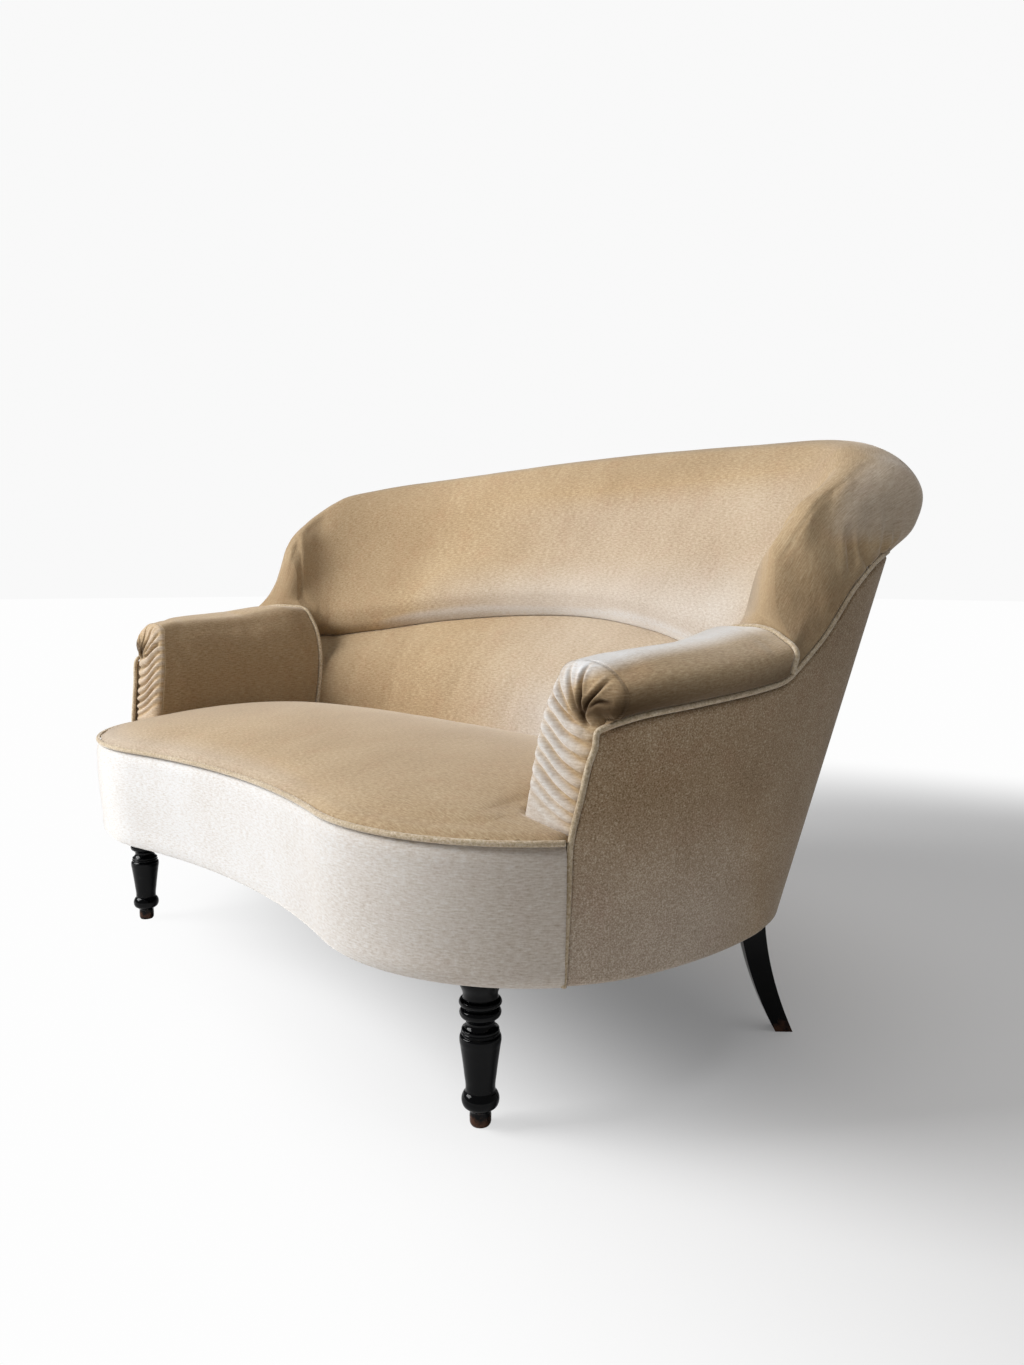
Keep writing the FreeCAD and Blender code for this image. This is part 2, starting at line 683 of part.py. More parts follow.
# Welt between arm and back: a cord's width either side of the junction, round the arm's dome
slab = beyond_junction(-WELT_R).cut(beyond_junction(WELT_R))
arm_back_welt = arm_loft(2.5).common(slab).cut(arm_loft(-4.5)).cut(wing_board).cut(outside_arm)

# Welt of the outside panel: up its front corner, round the top and along it to the back corner
corner = Section(ARM_FRONT)
WELT_TURN = 14.0
path = []
for z in (BASE_Z + 1.0, 240.0, 300.0, KNEE_Z, 400.0, 440.0):
    x, y = panel_point(ARM_FRONT, z)
    path.append(at(x - 1.0, y, z))
path.append(corner.point(-1.0, corner.top - WELT_TURN))
path.append(corner.point(-0.5, corner.top + 2.5) + V(0, 1.0, 0))
for s in run(ARM_FRONT + 12.0, WELT_END, 24.0):
    sec = Section(s)
    path.append(sec.point(0.5, sec.top + 0.5 * sec.room()))
outside_welt = piping(path, WELT_R)
keep_pair("outside_welt", outside_welt)
keep_pair("arm_back_welt", arm_back_welt.cut(outside_welt))

# Arm facing: the gathered front of the arm, rounded towards the seat
FACING_TAPER = 0.7        # the panel beside the facing curves inwards to the front by this
FACING_LOW = SEAT_EDGE_Z + 2.0
FACING_STEPS = ((SEAT_GAP, 0.0, 0.0), (8.0, 2.0, 5.0), (13.0, 9.0, 16.0))  # depth, inset, inner inset


def facing_wire(depth, inset, inner_inset):
    """The outline of the arm's front at a depth before the pad, drawn in by an inset."""
    sec = Section(ARM_PAD_START)
    forward = V(0, -depth, 0)

    def p(q, z):
        return sec.point(q, z) + forward

    foot = sec.foot() + inner_inset
    ridge = -smooth(ARM_RIDGE_IN, sec.s)
    ridge_z = smooth(ARM_RIDGE_Z, sec.s) - inset
    overhang = smooth(ARM_OVERHANG, sec.s) - inset

    def side(z):
        return sec.panel(z) - BAR_OUT - FACING_TAPER * depth

    under = sec.top + WELT_ROOM + 0.3 * inset
    low = FACING_LOW
    shoulder_z = ridge_z - 26.0
    lean = foot + (ridge - foot) * 0.42
    mid_z = under + (ridge_z - under) * 0.42
    return closed([
        (p(foot, low), p(lean, shoulder_z)),
        (p(lean, shoulder_z), p(lean + (ridge - lean) * 0.27, ridge_z - 7.0), p(ridge, ridge_z)),
        (p(ridge, ridge_z), p(ridge + (overhang - ridge) * 0.68, mid_z + (ridge_z - mid_z) * 0.66),
         p(overhang, mid_z)),
        (p(overhang, mid_z), p(overhang - 2.0, under + (mid_z - under) * 0.4), p(side(under), under)),
        (p(side(under), under), p(side(KNEE_Z), KNEE_Z)),
        (p(side(KNEE_Z), KNEE_Z), p(side(low), low)),
        (p(side(low), low), p(foot, low)),
    ])


arm_facing = skin([facing_wire(*step) for step in FACING_STEPS])
keep_pair("arm_facing", arm_facing)

# Front border: padded band under the seat's edge, leaning out a little
BORDER_END = ARM_FRONT - 5.0
BORDER_TOP = 347.2


def band_wire(s0, s1, outer, inner, z):
    outside = edge_curve(s0, s1, outer, z)
    inside = edge_curve(s0, s1, inner, z)
    a, b = outside[0].firstVertex().Point, outside[-1].lastVertex().Point
    c, d = inside[0].firstVertex().Point, inside[-1].lastVertex().Point
    back = [edge.reversed() for edge in reversed(inside)]
    return Part.Wire(outside + [Part.makeLine(b, d)] + back + [Part.makeLine(c, a)])


border_levels = ((BASE_Z, 0.0), (0.5 * (BASE_Z + BORDER_TOP), 0.75 * BORDER_LEAN), (BORDER_TOP, BORDER_LEAN))
front_border = loft([band_wire(-BORDER_END, BORDER_END, out, -PANEL, z) for z, out in border_levels])
keep("front_border", front_border)

# Seat piping along the front edge
PIPE_OUT = BORDER_LEAN - 1.0
PIPE_Z = BORDER_TOP + WELT_R + SEAT_GAP
pipe_path = []
for s in run(-BORDER_END, BORDER_END, 30.0):
    x, y, _ = edge_point(s, PIPE_OUT)
    pipe_path.append(at(x, y, PIPE_Z))
keep("seat_piping", piping(pipe_path, WELT_R))


# Seat outline: the front edge between the arms, the arms' inner faces and the back's foot
SEAT_FRONT_END = ARM_FRONT - 12.0
SEAT_CORNER_AHEAD = 23.0  # the seat turns in before the arm's inner face by this
WING_FOOT_IN = 1.0        # and clears the wing's small foot circle by these
WING_FOOT_AHEAD = 6.0
SEAT_BACK_FROM = 1045.0   # the back's foot line is followed from here
SEAT_BACK_STEP = 80.0


def other_side(v):
    return V(-v.x, v.y, v.z)


def seat_face(front_out, side_gap, z):
    """Plan of the seat, its front edge moved out, its other sides held in by a gap."""
    front = edge_curve(-SEAT_FRONT_END, SEAT_FRONT_END, front_out, z)
    right = front[-1].lastVertex().Point
    arm_front = at(ARM_FOOT_FRONT[0] - side_gap, ARM_FOOT_FRONT[1] - SEAT_CORNER_AHEAD, z)
    wing_x = FAN_PIVOT[0] + FOOT_RADIUS - WING_FOOT_IN - side_gap
    arm_back = at(wing_x, FAN_PIVOT[1] - WING_FOOT_AHEAD, z)
    foot_line = []
    for s in run(SEAT_BACK_FROM, HALF, SEAT_BACK_STEP):
        sec = Section(s)
        foot_line.append(sec.point(sec.foot() - side_gap, z))
    line = [arm_back] + foot_line
    line += [other_side(v) for v in reversed(line[:-1])]
    curve = Part.BSplineCurve()
    curve.interpolate(line)
    sides = [Part.makeLine(right, arm_front), Part.makeLine(arm_front, arm_back)]
    sides.append(Part.makeLine(other_side(arm_back), other_side(arm_front)))
    sides.append(Part.makeLine(other_side(arm_front), other_side(right)))
    return Part.Face(Part.Wire(Part.__sortEdges__(front + sides + [curve.toShape()])))


# Seat cover: crowned from front to back, flatter towards the arms
SEAT_SPAN = 600.0
CROWN_SIDE = 2.0          # rise left at the arms
CROWN_BACK = 455.0        # the crown comes down to the cover's edge height here
CROWN_OVER = 25.0         # it is drawn past both ends by this and cut to the outline
CROWN_UNDER = 20.0
COVER_LOW = SEAT_EDGE_Z + SEAT_GAP
COVER_EDGE = 356.0
CROWN_AT = (-640, -560, -470, -360, -240, -120, 0, 120, 240, 360, 470, 560, 640)


def crown_wire(x):
    """Section of the crown at a distance from the middle."""
    front_run = run(0.0, ARM_FRONT, 8.0)
    s_front = min(front_run, key=lambda s: abs(edge_point(s, BORDER_LEAN)[0] - abs(x)))
    y0 = edge_point(s_front, BORDER_LEAN)[1]
    y1 = CROWN_BACK
    rise = SEAT_CROWN * max(0.0, 1.0 - abs(x / SEAT_SPAN)**4) + CROWN_SIDE
    middle, half = 0.5 * (y0 + y1), 0.5 * (y1 - y0)
    over = half + CROWN_OVER
    drop = rise * (1.0 - (over / half)**2)
    low = COVER_LOW - CROWN_UNDER
    a, b = at(x, middle - over, low), at(x, middle + over, low)
    c, d = at(x, middle + over, COVER_EDGE + drop), at(x, middle - over, COVER_EDGE + drop)
    return closed([(a, b), (b, c), (c, at(x, middle, COVER_EDGE + rise), d), (d, a)], 8)


crown = skin([crown_wire(x) for x in CROWN_AT])
COVER_SIDE_GAP = 4.5
COVER_OUT = BORDER_LEAN - 2.0 * WELT_R + 1.5
cover_prism = seat_face(COVER_OUT, COVER_SIDE_GAP, COVER_LOW).extrude(V(0, 0, 2.5 * SEAT_CROWN))
keep("seat_cover", cover_prism.common(crown))

# Stuffing, hessian and the stitched edge roll under the cover
STUFFING_IN = 8.0
HESSIAN = 1.5
FILLING_OUT = -PANEL - 1.0
EDGE_ROLL_IN = -45.0
EDGE_ROLL_END = 590.0
stuffing_z = SPRING_TOP + HESSIAN + 2 * SEAT_GAP
stuffing = seat_face(FILLING_OUT, STUFFING_IN, stuffing_z)
keep("seat_stuffing", stuffing.extrude(V(0, 0, SEAT_EDGE_Z - stuffing_z)))
hessian = seat_face(FILLING_OUT, STUFFING_IN, SPRING_TOP + SEAT_GAP)
keep("spring_hessian", hessian.extrude(V(0, 0, HESSIAN)))
edge_roll = strip(-EDGE_ROLL_END, EDGE_ROLL_END, FILLING_OUT, EDGE_ROLL_IN, RAIL_TOP + SEAT_GAP, SPRING_TOP)
keep("seat_edge_roll", edge_roll)

# Webbing under the rails: cross straps against the rails, long straps below them
WEB_W, WEB_T = 50.0, 1.5
SPRING_X = (-330.0, -110.0, 110.0, 330.0)
SPRING_Y = (84.0, 217.0, 350.0)
CROSS_WEB_HALF = (590.0, 592.0, 592.0)
cross_z = RAIL_BOTTOM - SEAT_GAP - WEB_T
long_z = cross_z - SEAT_GAP - WEB_T
cross_webs = []
for y, half in zip(SPRING_Y, CROSS_WEB_HALF):
    cross_webs.append(Part.makeBox(2 * half, WEB_W, WEB_T, at(-half, y - WEB_W / 2, cross_z)))
keep("webbing_cross", Part.makeCompound(cross_webs))
LONG_WEB_Y = (-45.0, 540.0)
long_webs = []
for x in SPRING_X:
    length = LONG_WEB_Y[1] - LONG_WEB_Y[0]
    long_webs.append(Part.makeBox(WEB_W, length, WEB_T, at(x - WEB_W / 2, LONG_WEB_Y[0], long_z)))
keep("webbing_long", Part.makeCompound(long_webs))

# Waisted springs with flat ends, wound from square-drawn wire
SPRING_R, SPRING_WAIST, SPRING_WIRE, SPRING_TURNS = 44.0, 28.0, 4.0, 4
SPRING_STEPS = 7          # straight steps in a turn
SPRING_LOW = cross_z + WEB_T + SEAT_GAP


def spring():
    """One coil: its radius narrows at the waist, its first and last turns lie flat."""
    rings = []
    count = SPRING_STEPS * SPRING_TURNS
    height = SPRING_TOP - SPRING_LOW - SPRING_WIRE
    for k in range(count + 1):
        turn = k / SPRING_STEPS
        climb = min(1.0, max(0.0, (turn - 0.8) / (SPRING_TURNS - 1.6)))
        radius = SPRING_R - (SPRING_R - SPRING_WAIST) * math.sin(math.pi * climb)
        angle = 2 * math.pi * turn
        z = SPRING_LOW + SPRING_WIRE / 2 + height * climb
        c, d, h = math.cos(angle), math.sin(angle), SPRING_WIRE / 2
        ring = []
        for a, b in ((-h, -h), (h, -h), (h, h), (-h, h)):
            ring.append(V((radius + a) * c, (radius + a) * d, z + b))
        rings.append(ring)
    return skin(rings)


coil = spring()
coils = []
for x in SPRING_X:
    for y in SPRING_Y:
        one = coil.copy()
        one.translate(at(x, y, 0))
        coils.append(one)
keep("seat_springs", Part.makeCompound(coils))

# Back slats and the webbing over them
SLAT_AT = (1180.0, 1350.0, 1520.0, HALF)
SLAT_W = 42.0
SLAT_BACK, SLAT_FRONT = 36.0, 57.0
SLAT_DROP = 2.5           # a slat's top stays under the crest rail by this


def slat(s):
    sec = Section(s)
    c, d = math.cos(sec.angle), math.sin(sec.angle)
    wires = []
    top = sec.top + sec.room() - SEAT_GAP - CREST_H - SLAT_DROP
    for z in (RAIL_TOP + SEAT_GAP, 0.5 * (RAIL_TOP + top), top):
        ring = []
        for q, b in ((SLAT_BACK, -0.5), (SLAT_BACK, 0.5), (SLAT_FRONT, 0.5), (SLAT_FRONT, -0.5)):
            ring.append(sec.point(sec.panel(z) - q, z) + V(-d * b * SLAT_W, c * b * SLAT_W, 0))
        wires.append(Part.makePolygon(ring + [ring[0]]))
    return loft(wires)


slats = [slat(s) for s in SLAT_AT]
slats += [mirrored(one) for one in slats[:-1]]
for number, one in enumerate(sorted(slats, key=lambda shape: shape.BoundBox.Center.x)):
    keep("back_slat_%d" % (number + 1), one)
BACK_WEB_Z = (400.0, 480.0, 560.0)
back_webs = []
for z in BACK_WEB_Z:
    wires = [wall_wire(Section(s), SLAT_FRONT + 0.6, SLAT_FRONT + 2.1, (z, z + WEB_W)) for s in back_stations]
    back_webs.append(round_skin(wires))
keep("back_webbing", Part.makeCompound(back_webs))

# Dust cloth under the seat, cut round the legs
CLOTH_T = 1.0
CLOTH_Z = long_z - SEAT_GAP - CLOTH_T
LEG_CLEAR = 27.0
half_cloth = edge_curve(-HALF, HALF, -PANEL - 2.0, CLOTH_Z)
cloth = Part.Face(Part.Wire(Part.__sortEdges__(half_cloth))).extrude(V(0, 0, CLOTH_T))
for x in (LEG_X, -LEG_X):
    cloth = cloth.cut(Part.makeCylinder(LEG_CLEAR, 10 * CLOTH_T, at(x, LEG_Y, CLOTH_Z - 5 * CLOTH_T)))
notch_levels = (CLOTH_Z - 5 * CLOTH_T, CLOTH_Z + 5 * CLOTH_T)
leg_notch = loft([stile_ring(low_face + 5.0, z, STILE_W + 2.0, STILE_DEEP + 6.0) for z in notch_levels])
cloth = cloth.cut(leg_notch).cut(mirrored(leg_notch))
keep("bottom_cloth", cloth)

# One file for each node
for name, shape in NODES.items():
    solids = shape.Solids
    whole = solids[0] if len(solids) == 1 else Part.makeCompound(solids)
    whole.exportStep("parts/%s.step" % name)
    print(name, len(solids), "solids, valid", shape.isValid())
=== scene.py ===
# %% [markdown]
# # A two-seater tub sofa in gold velvet
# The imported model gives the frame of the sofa: every wooden rail, pad and cover in its place.
# This lesson dresses it. Each upholstered piece becomes a smooth padded surface, each seam gets
# its welt, the turned legs get their beads, and every surface gets the finish of the real thing.

# %% Load the frame
import json
import math
import bpy
import numpy as np
from mathutils import Matrix, Vector


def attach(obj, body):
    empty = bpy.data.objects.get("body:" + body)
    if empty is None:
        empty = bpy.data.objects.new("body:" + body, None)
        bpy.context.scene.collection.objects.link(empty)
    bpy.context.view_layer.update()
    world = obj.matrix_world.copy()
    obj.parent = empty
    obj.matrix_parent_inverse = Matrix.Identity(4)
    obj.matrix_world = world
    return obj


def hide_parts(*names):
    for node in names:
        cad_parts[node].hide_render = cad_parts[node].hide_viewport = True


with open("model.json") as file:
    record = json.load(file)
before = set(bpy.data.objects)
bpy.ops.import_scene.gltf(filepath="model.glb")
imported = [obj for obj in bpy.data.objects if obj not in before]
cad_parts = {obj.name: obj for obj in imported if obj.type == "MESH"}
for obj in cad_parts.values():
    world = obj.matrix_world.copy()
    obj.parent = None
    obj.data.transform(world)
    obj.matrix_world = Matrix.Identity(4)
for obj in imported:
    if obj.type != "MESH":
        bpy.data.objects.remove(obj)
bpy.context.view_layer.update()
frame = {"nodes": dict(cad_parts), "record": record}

# %% [markdown]
# ## The tub's wall as arithmetic
# On the real sofa the arms, the wings and the back are one wall bent round the seat, and its
# covers were cut flat and pulled over it. A wall like this could be sculpted, or copied from the
# frame's own facets. Here it is worked out instead, because a formula gives a surface that is
# smooth at any size and knows how far along the wall and how far up it each point lies, which is
# what a nap, a seam or a pleat follows. Lengths in the formulas are millimetres.

# %% Measures that the covers share with the frame
MM = 0.001
# heights of the covers' lower edge, of the rails, of the seat's edge and of the knees
BASE_Z, RAIL_TOP, SEAT_EDGE_Z, KNEE_Z = 187.0, 285.3, 350.0, 355.0
# places along the outline, measured from the middle of the front
ARM_FRONT, ARM_PAD_START, ARM_BACK = 637.0, 654.0, 873.0
WELT_END, FAN_END, BACK_SEAM = 1010.0, 1060.0, 1130.0
# depth left for the frame, thickness of the panels, radius of a welt and the gap kept for it
FRAME_ZONE, PANEL, WELT_R, WELT_ROOM = 60.0, 10.0, 3.6, 8.8
# points in plan: y is counted from the front legs, and the frame's nought lies behind them
BOX_MIDDLE_Y = 329.7
FAN_PIVOT = (455.0, 357.0)
ARM_FOOT_FRONT, ARM_FOOT_BACK = (508.0, 57.0), (477.0, 363.0)
WING_FOOT_R, LEAN_REACH, WELT_FADE = 25.0, 220.0, 25.0


def knots(*pairs):
    """A list of (place, value) pairs as an array."""
    return np.array(pairs, float)


# how far the wall leans out across and to the back: at knee height, then for each millimetre above
KNEE_ACROSS = knots((637, 10), (950, 22), (1020, 25), (1200, 7), (1500, 0))
KNEE_BACK = knots((637, 0), (750, 8), (950, 36), (1020, 45), (1200, 49), (1685, 42))
SLOPE_ACROSS = knots((637, .168), (880, .14), (950, .145), (1020, .148), (1100, .11), (1200, .035),
                     (1500, 0))
SLOPE_BACK = knots((637, .151), (880, .165), (950, .21), (1020, .265), (1100, .285), (1200, .29),
                   (1685, .25))
# the panel's top edge, then the ridge of the arm's roll, how far in it lies and how far the roll
# hangs out over the panel
PANEL_TOP = knots((637, 469), (681, 483), (751, 493), (833, 503), (873, 512), (893, 530), (920, 559),
                  (937, 586), (956, 619), (989, 654), (1035, 669), (1200, 692), (1685, 712))
ARM_RIDGE_Z = knots((637, 541), (700, 551), (800, 560), (880, 573), (960, 578))
ARM_RIDGE_IN = knots((637, 45), (700, 68), (800, 92), (880, 106), (960, 110))
ARM_OVERHANG = knots((637, 14), (760, 15), (880, 6), (960, 4))
# the line at the foot of the back, by x, then the seam over the lumbar band
BACK_FOOT = knots((0, 455), (150, 448), (300, 425), (400, 402), (455, 383), (472, 375), (520, 350))
SEAM_FROM_FOOT = knots((1090, 73), (1200, 76), (1400, 107), (1685, 145))
SEAM_Z = knots((1077, 511), (1200, 524), (1400, 549), (1685, 564))
# the ridge of the rolled top, how far in it lies, how full the roll is and how far it hangs out
ROLL_Z = knots((873, 564), (901, 608), (920, 652), (940, 702), (970, 748), (1023, 793), (1077, 819),
               (1200, 839), (1685, 860))
ROLL_IN = knots((873, 112), (901, 100), (920, 80), (940, 63), (970, 58), (1023, 50), (1077, 47),
                (1300, 42), (1685, 33))
WING_FULLNESS = knots((873, .8), (900, .45), (930, .2), (957, .2), (985, .45), (1010, .8), (1030, 1),
                      (1685, 1))
ROLL_OVERHANG = knots((873, 5), (957, 10), (1000, 30), (1023, 41), (1100, 42), (1685, 36))


def smooth(pairs, s):
    """Value at s of the smooth curve through (place, value) pairs: between two places it is the
    cubic whose slope at each is that of the line joining its neighbours, and flat past the ends."""
    place, value = pairs[:, 0], pairs[:, 1]
    before = np.maximum(np.arange(len(place)) - 1, 0)
    after = np.minimum(np.arange(len(place)) + 1, len(place) - 1)
    slope = (value[after] - value[before]) / (place[after] - place[before])
    slope[-1] = 0.0
    s = np.clip(s, place[0], place[-1])
    k = np.clip(np.searchsorted(place, s, side="right") - 1, 0, len(place) - 2)
    w = place[k + 1] - place[k]
    t = (s - place[k]) / w
    ends = value[k] * (2 * t**3 - 3 * t**2 + 1) + value[k + 1] * (3 * t**2 - 2 * t**3)
    return ends + w * (slope[k] * (t**3 - 2 * t**2 + t) + slope[k + 1] * (t**3 - t**2))


print("panel's top edge at the arm's end", round(float(smooth(PANEL_TOP, ARM_BACK)), 1), "mm up")

# %% [markdown]
# The plan of the sofa is a chain of arcs that meet without a corner: a hollow in the middle of
# the front, a tight bulge round each front leg, the side, the back corner and the long back. A
# drawn curve would do too, but arcs give the distance along the edge without measuring.

# %% The outline on the floor
ARC_RADIUS = (1224.0, 280.0, 583.0, 240.0)
ARC_TURN = (-0.238, 1.630, 0.337, 1.065)
FRONT_MIDDLE_Y = -54.0


def outline_arcs():
    """Rows of start x, start y, heading, radius, turn and length. The last arc closes on the
    middle line: its radius is its start x over the sine of its heading."""
    rows, x, y, heading = [], 0.0, FRONT_MIDDLE_Y, 0.0
    for radius, turn in [*zip(ARC_RADIUS, ARC_TURN), (None, None)]:
        if radius is None:
            radius, turn = x / math.sin(heading), math.pi - heading
        rows.append((x, y, heading, radius, turn, abs(radius * turn)))
        side = math.copysign(1.0, turn)
        x, y = (x + side * radius * (math.sin(heading + turn) - math.sin(heading)),
                y - side * radius * (math.cos(heading + turn) - math.cos(heading)))
        heading += turn
    return np.array(rows)


ARCS = outline_arcs()
MARKS = np.concatenate([[0.0], np.cumsum(ARCS[:, 5])])
HALF = MARKS[-1]


def edge_point(s, out=0.0):
    """Point of the outline at distance s from the middle of the front, moved out square to it:
    arc start plus radius times the change of the heading's sine and cosine."""
    far = np.abs(s)
    k = np.clip(np.searchsorted(MARKS, far, side="right") - 1, 0, len(ARCS) - 1)
    x, y, heading, radius, turn = (ARCS[k, j] for j in range(5))
    side = np.sign(turn)
    angle = heading + side * (far - MARKS[k]) / radius
    px = x + side * radius * (np.sin(angle) - np.sin(heading)) + out * np.sin(angle)
    py = y - side * radius * (np.cos(angle) - np.cos(heading)) - out * np.cos(angle)
    return np.where(np.asarray(s) < 0, -px, px), py


def panel_point(s, z):
    """Outside of the wall at distance s and height z: the outline, plus a lean that grows evenly
    up to knee height and by its own slopes across and to the back above it."""
    x, y = edge_point(s)
    below = np.minimum(1.0, (z - BASE_Z) / (KNEE_Z - BASE_Z))
    above = np.maximum(0.0, z - KNEE_Z)
    x = x + smooth(KNEE_ACROSS, s) * below + smooth(SLOPE_ACROSS, s) * above
    y = y + smooth(KNEE_BACK, s) * below + smooth(SLOPE_BACK, s) * above
    return x, y


def points(x, y, z):
    """Millimetres about the front legs' line, as points of the frame in metres."""
    x, y, z = np.broadcast_arrays(x, y, z)
    return np.stack([x, y - BOX_MIDDLE_Y, z], -1) * MM


print("half the outline", round(float(HALF), 1), "mm")

# %% [markdown]
# An upholsterer draws the wall as slices. A slice here is an upright plane across the wall: q
# runs outwards in it from the top edge of the outside panel, and z runs up.

# %% A slice of the wall


def fan_angle(s):
    """Direction from the wing's pivot to the panel's top edge."""
    x, y = panel_point(s, smooth(PANEL_TOP, s))
    return np.arctan2(y - FAN_PIVOT[1], x - FAN_PIVOT[0])


BACK_TURN = knots((FAN_END, math.degrees(float(fan_angle(FAN_END)))), (1130, 60), (1200, 70), (1685, 90))


def slice_angle(s):
    """Straight across at the arm's front and turning along the arm by the power 1.5 of the way, a
    fan about the pivot at the wing, then turning to straight back at the middle of the back."""
    share = np.clip((s - ARM_FRONT) / (ARM_BACK - ARM_FRONT), 0.0, 1.0)
    on_arm = fan_angle(ARM_BACK) * share**1.5
    on_back = np.radians(smooth(BACK_TURN, s))
    return np.where(s > FAN_END, on_back, np.where(s >= ARM_BACK, fan_angle(s), on_arm))


class Slice:
    """Slices at the places s, as arrays. Past the arm's end they step on by a shift."""

    def __init__(self, s, shift=0.0):
        self.s = np.asarray(s, float)
        self.angle = slice_angle(self.s)
        self.c, self.d = np.cos(self.angle), np.sin(self.angle)
        self.top = smooth(PANEL_TOP, self.s)
        x, y = panel_point(self.s, self.top)
        self.x, self.y = x - shift * self.d, y + shift * self.c
        fade = np.maximum(0.0, 1.0 - (self.s - ARM_FRONT) / LEAN_REACH)
        self.lean = fade * (smooth(SLOPE_BACK, self.s) * self.c - smooth(SLOPE_ACROSS, self.s) * self.d)

    def place(self, q, z):
        """The point at q and z: the slice's own point, plus q along it and its lean across it."""
        a = self.lean * (z - self.top)
        return points(self.x + q * self.c - a * self.d, self.y + q * self.d + a * self.c, z)

    def panel(self, z):
        """The q of the panel's outside at height z, found by halving."""
        low, high = self.s - 160.0 + 0.0 * z, np.minimum(self.s + 160.0, HALF) + 0.0 * z
        for _ in range(26):
            middle = 0.5 * (low + high)
            x, y = panel_point(middle, z)
            beyond = (self.x - x) * self.d + (y - self.y) * self.c - self.lean * (z - self.top)
            low, high = np.where(beyond < 0, middle, low), np.where(beyond < 0, high, middle)
        x, y = panel_point(high, z)
        return (x - self.x) * self.c + (y - self.y) * self.d

    def foot(self):
        """The q of the inner face at seat height: a line along the arm, a small circle round the
        pivot at the wing, and the back's foot line, found by halving."""
        a = self.lean * (SEAT_EDGE_Z - self.top)
        x, y = self.x - a * self.d, self.y + a * self.c
        (bx, by), (ax, ay) = ARM_FOOT_FRONT, ARM_FOOT_BACK
        t = ((x - ax) * self.d - (y - ay) * self.c) / ((bx - ax) * self.d - (by - ay) * self.c)
        on_arm = (ax + (bx - ax) * t - x) * self.c + (ay + (by - ay) * t - y) * self.d
        on_wing = WING_FOOT_R - np.hypot(self.x - FAN_PIVOT[0], self.y - FAN_PIVOT[1])
        near, far = -450.0 + 0.0 * self.x, 0.0 * self.x
        for _ in range(26):
            middle = 0.5 * (near + far)
            before = self.y + middle * self.d < smooth(BACK_FOOT, self.x + middle * self.c)
            near, far = np.where(before, middle, near), np.where(before, far, middle)
        return np.where(self.s > FAN_END, far, np.where(self.s > ARM_BACK, on_wing, on_arm))

    def room(self):
        """Height kept over the panel's top edge for its welt: the welt's room times the length of a
        step of one along that edge, running out past the welt's end."""
        slope = (smooth(PANEL_TOP, self.s + 4.0) - smooth(PANEL_TOP, self.s - 4.0)) / 8.0
        past = np.clip((self.s - WELT_END) / WELT_FADE, 0.0, 1.0)
        return WELT_ROOM * np.hypot(1.0, slope) * (1.0 - past) + 0.3 * past


print("slice at the arm's end", round(float(Slice(ARM_BACK).foot()), 1))

# %% [markdown]
# A pad's outline in its slice is a few control points. A smooth line goes through the ones that
# show, and straight lines join the ones hidden in the frame. Because such a line is a weighted
# sum of its control points, the whole pad is one product of a table of weights and the controls.
# A curve object could draw one profile, but not a profile that changes all along the wall.

# %% Profiles


def profile_rows(control, hidden, spacing=7.0):
    """Weights that draw a line through control points (q, z): through the first ones a cubic on
    their own spacing, whose slope at a point is the weighted mean of its two neighbours' rises,
    and single corners for the hidden last ones."""
    shown = len(control) - hidden
    gap = np.hypot(*np.diff(control[:shown], axis=0).T)
    one = np.eye(len(control))
    rise = (one[1:shown] - one[:shown - 1]) / gap[:, None]
    inner = (gap[1:, None] * rise[:-1] + gap[:-1, None] * rise[1:]) / (gap[1:] + gap[:-1])[:, None]
    slope = np.vstack([rise[:1], inner, rise[-1:]])
    rows = []
    for k, length in enumerate(gap):
        count = max(2, int(round(length / spacing)))
        t = np.arange(count)[:, None] / count
        rows.append((2 * t**3 - 3 * t**2 + 1) * one[k] + (3 * t**2 - 2 * t**3) * one[k + 1]
                    + length * ((t**3 - 2 * t**2 + t) * slope[k] + (t**3 - t**2) * slope[k + 1]))
    return np.vstack([*rows, one[shown - 1:]])


def pad_points(control_of, rows, s, shift=0.0):
    """Points of a pad for places s: each row of weights times the control points of its slice."""
    cut = Slice(s, shift)
    q, z = np.moveaxis(np.array(control_of(cut)), 1, 0)
    return cut.place(np.einsum("mk,kmn->mn", rows, q), np.einsum("mk,kmn->mn", rows, z))


def middle_control(control_of, s):
    """A pad's control points in one slice."""
    return np.array(control_of(Slice(np.array([[s]]))))[:, :, 0, 0]


print("points on a line of 14 mm", len(profile_rows(np.array([(0.0, 0.0), (14.0, 0.0)]), 0)))

# %% [markdown]
# Every soft piece here is a closed shell: a grid whose rows go round and whose columns go along,
# shut with a fan at either end. Blender can loft and bridge by hand, but whole arrays of points
# and faces are quicker to make, and the grid keeps the cloth's own directions for its UV map.

# %% Shells from grids


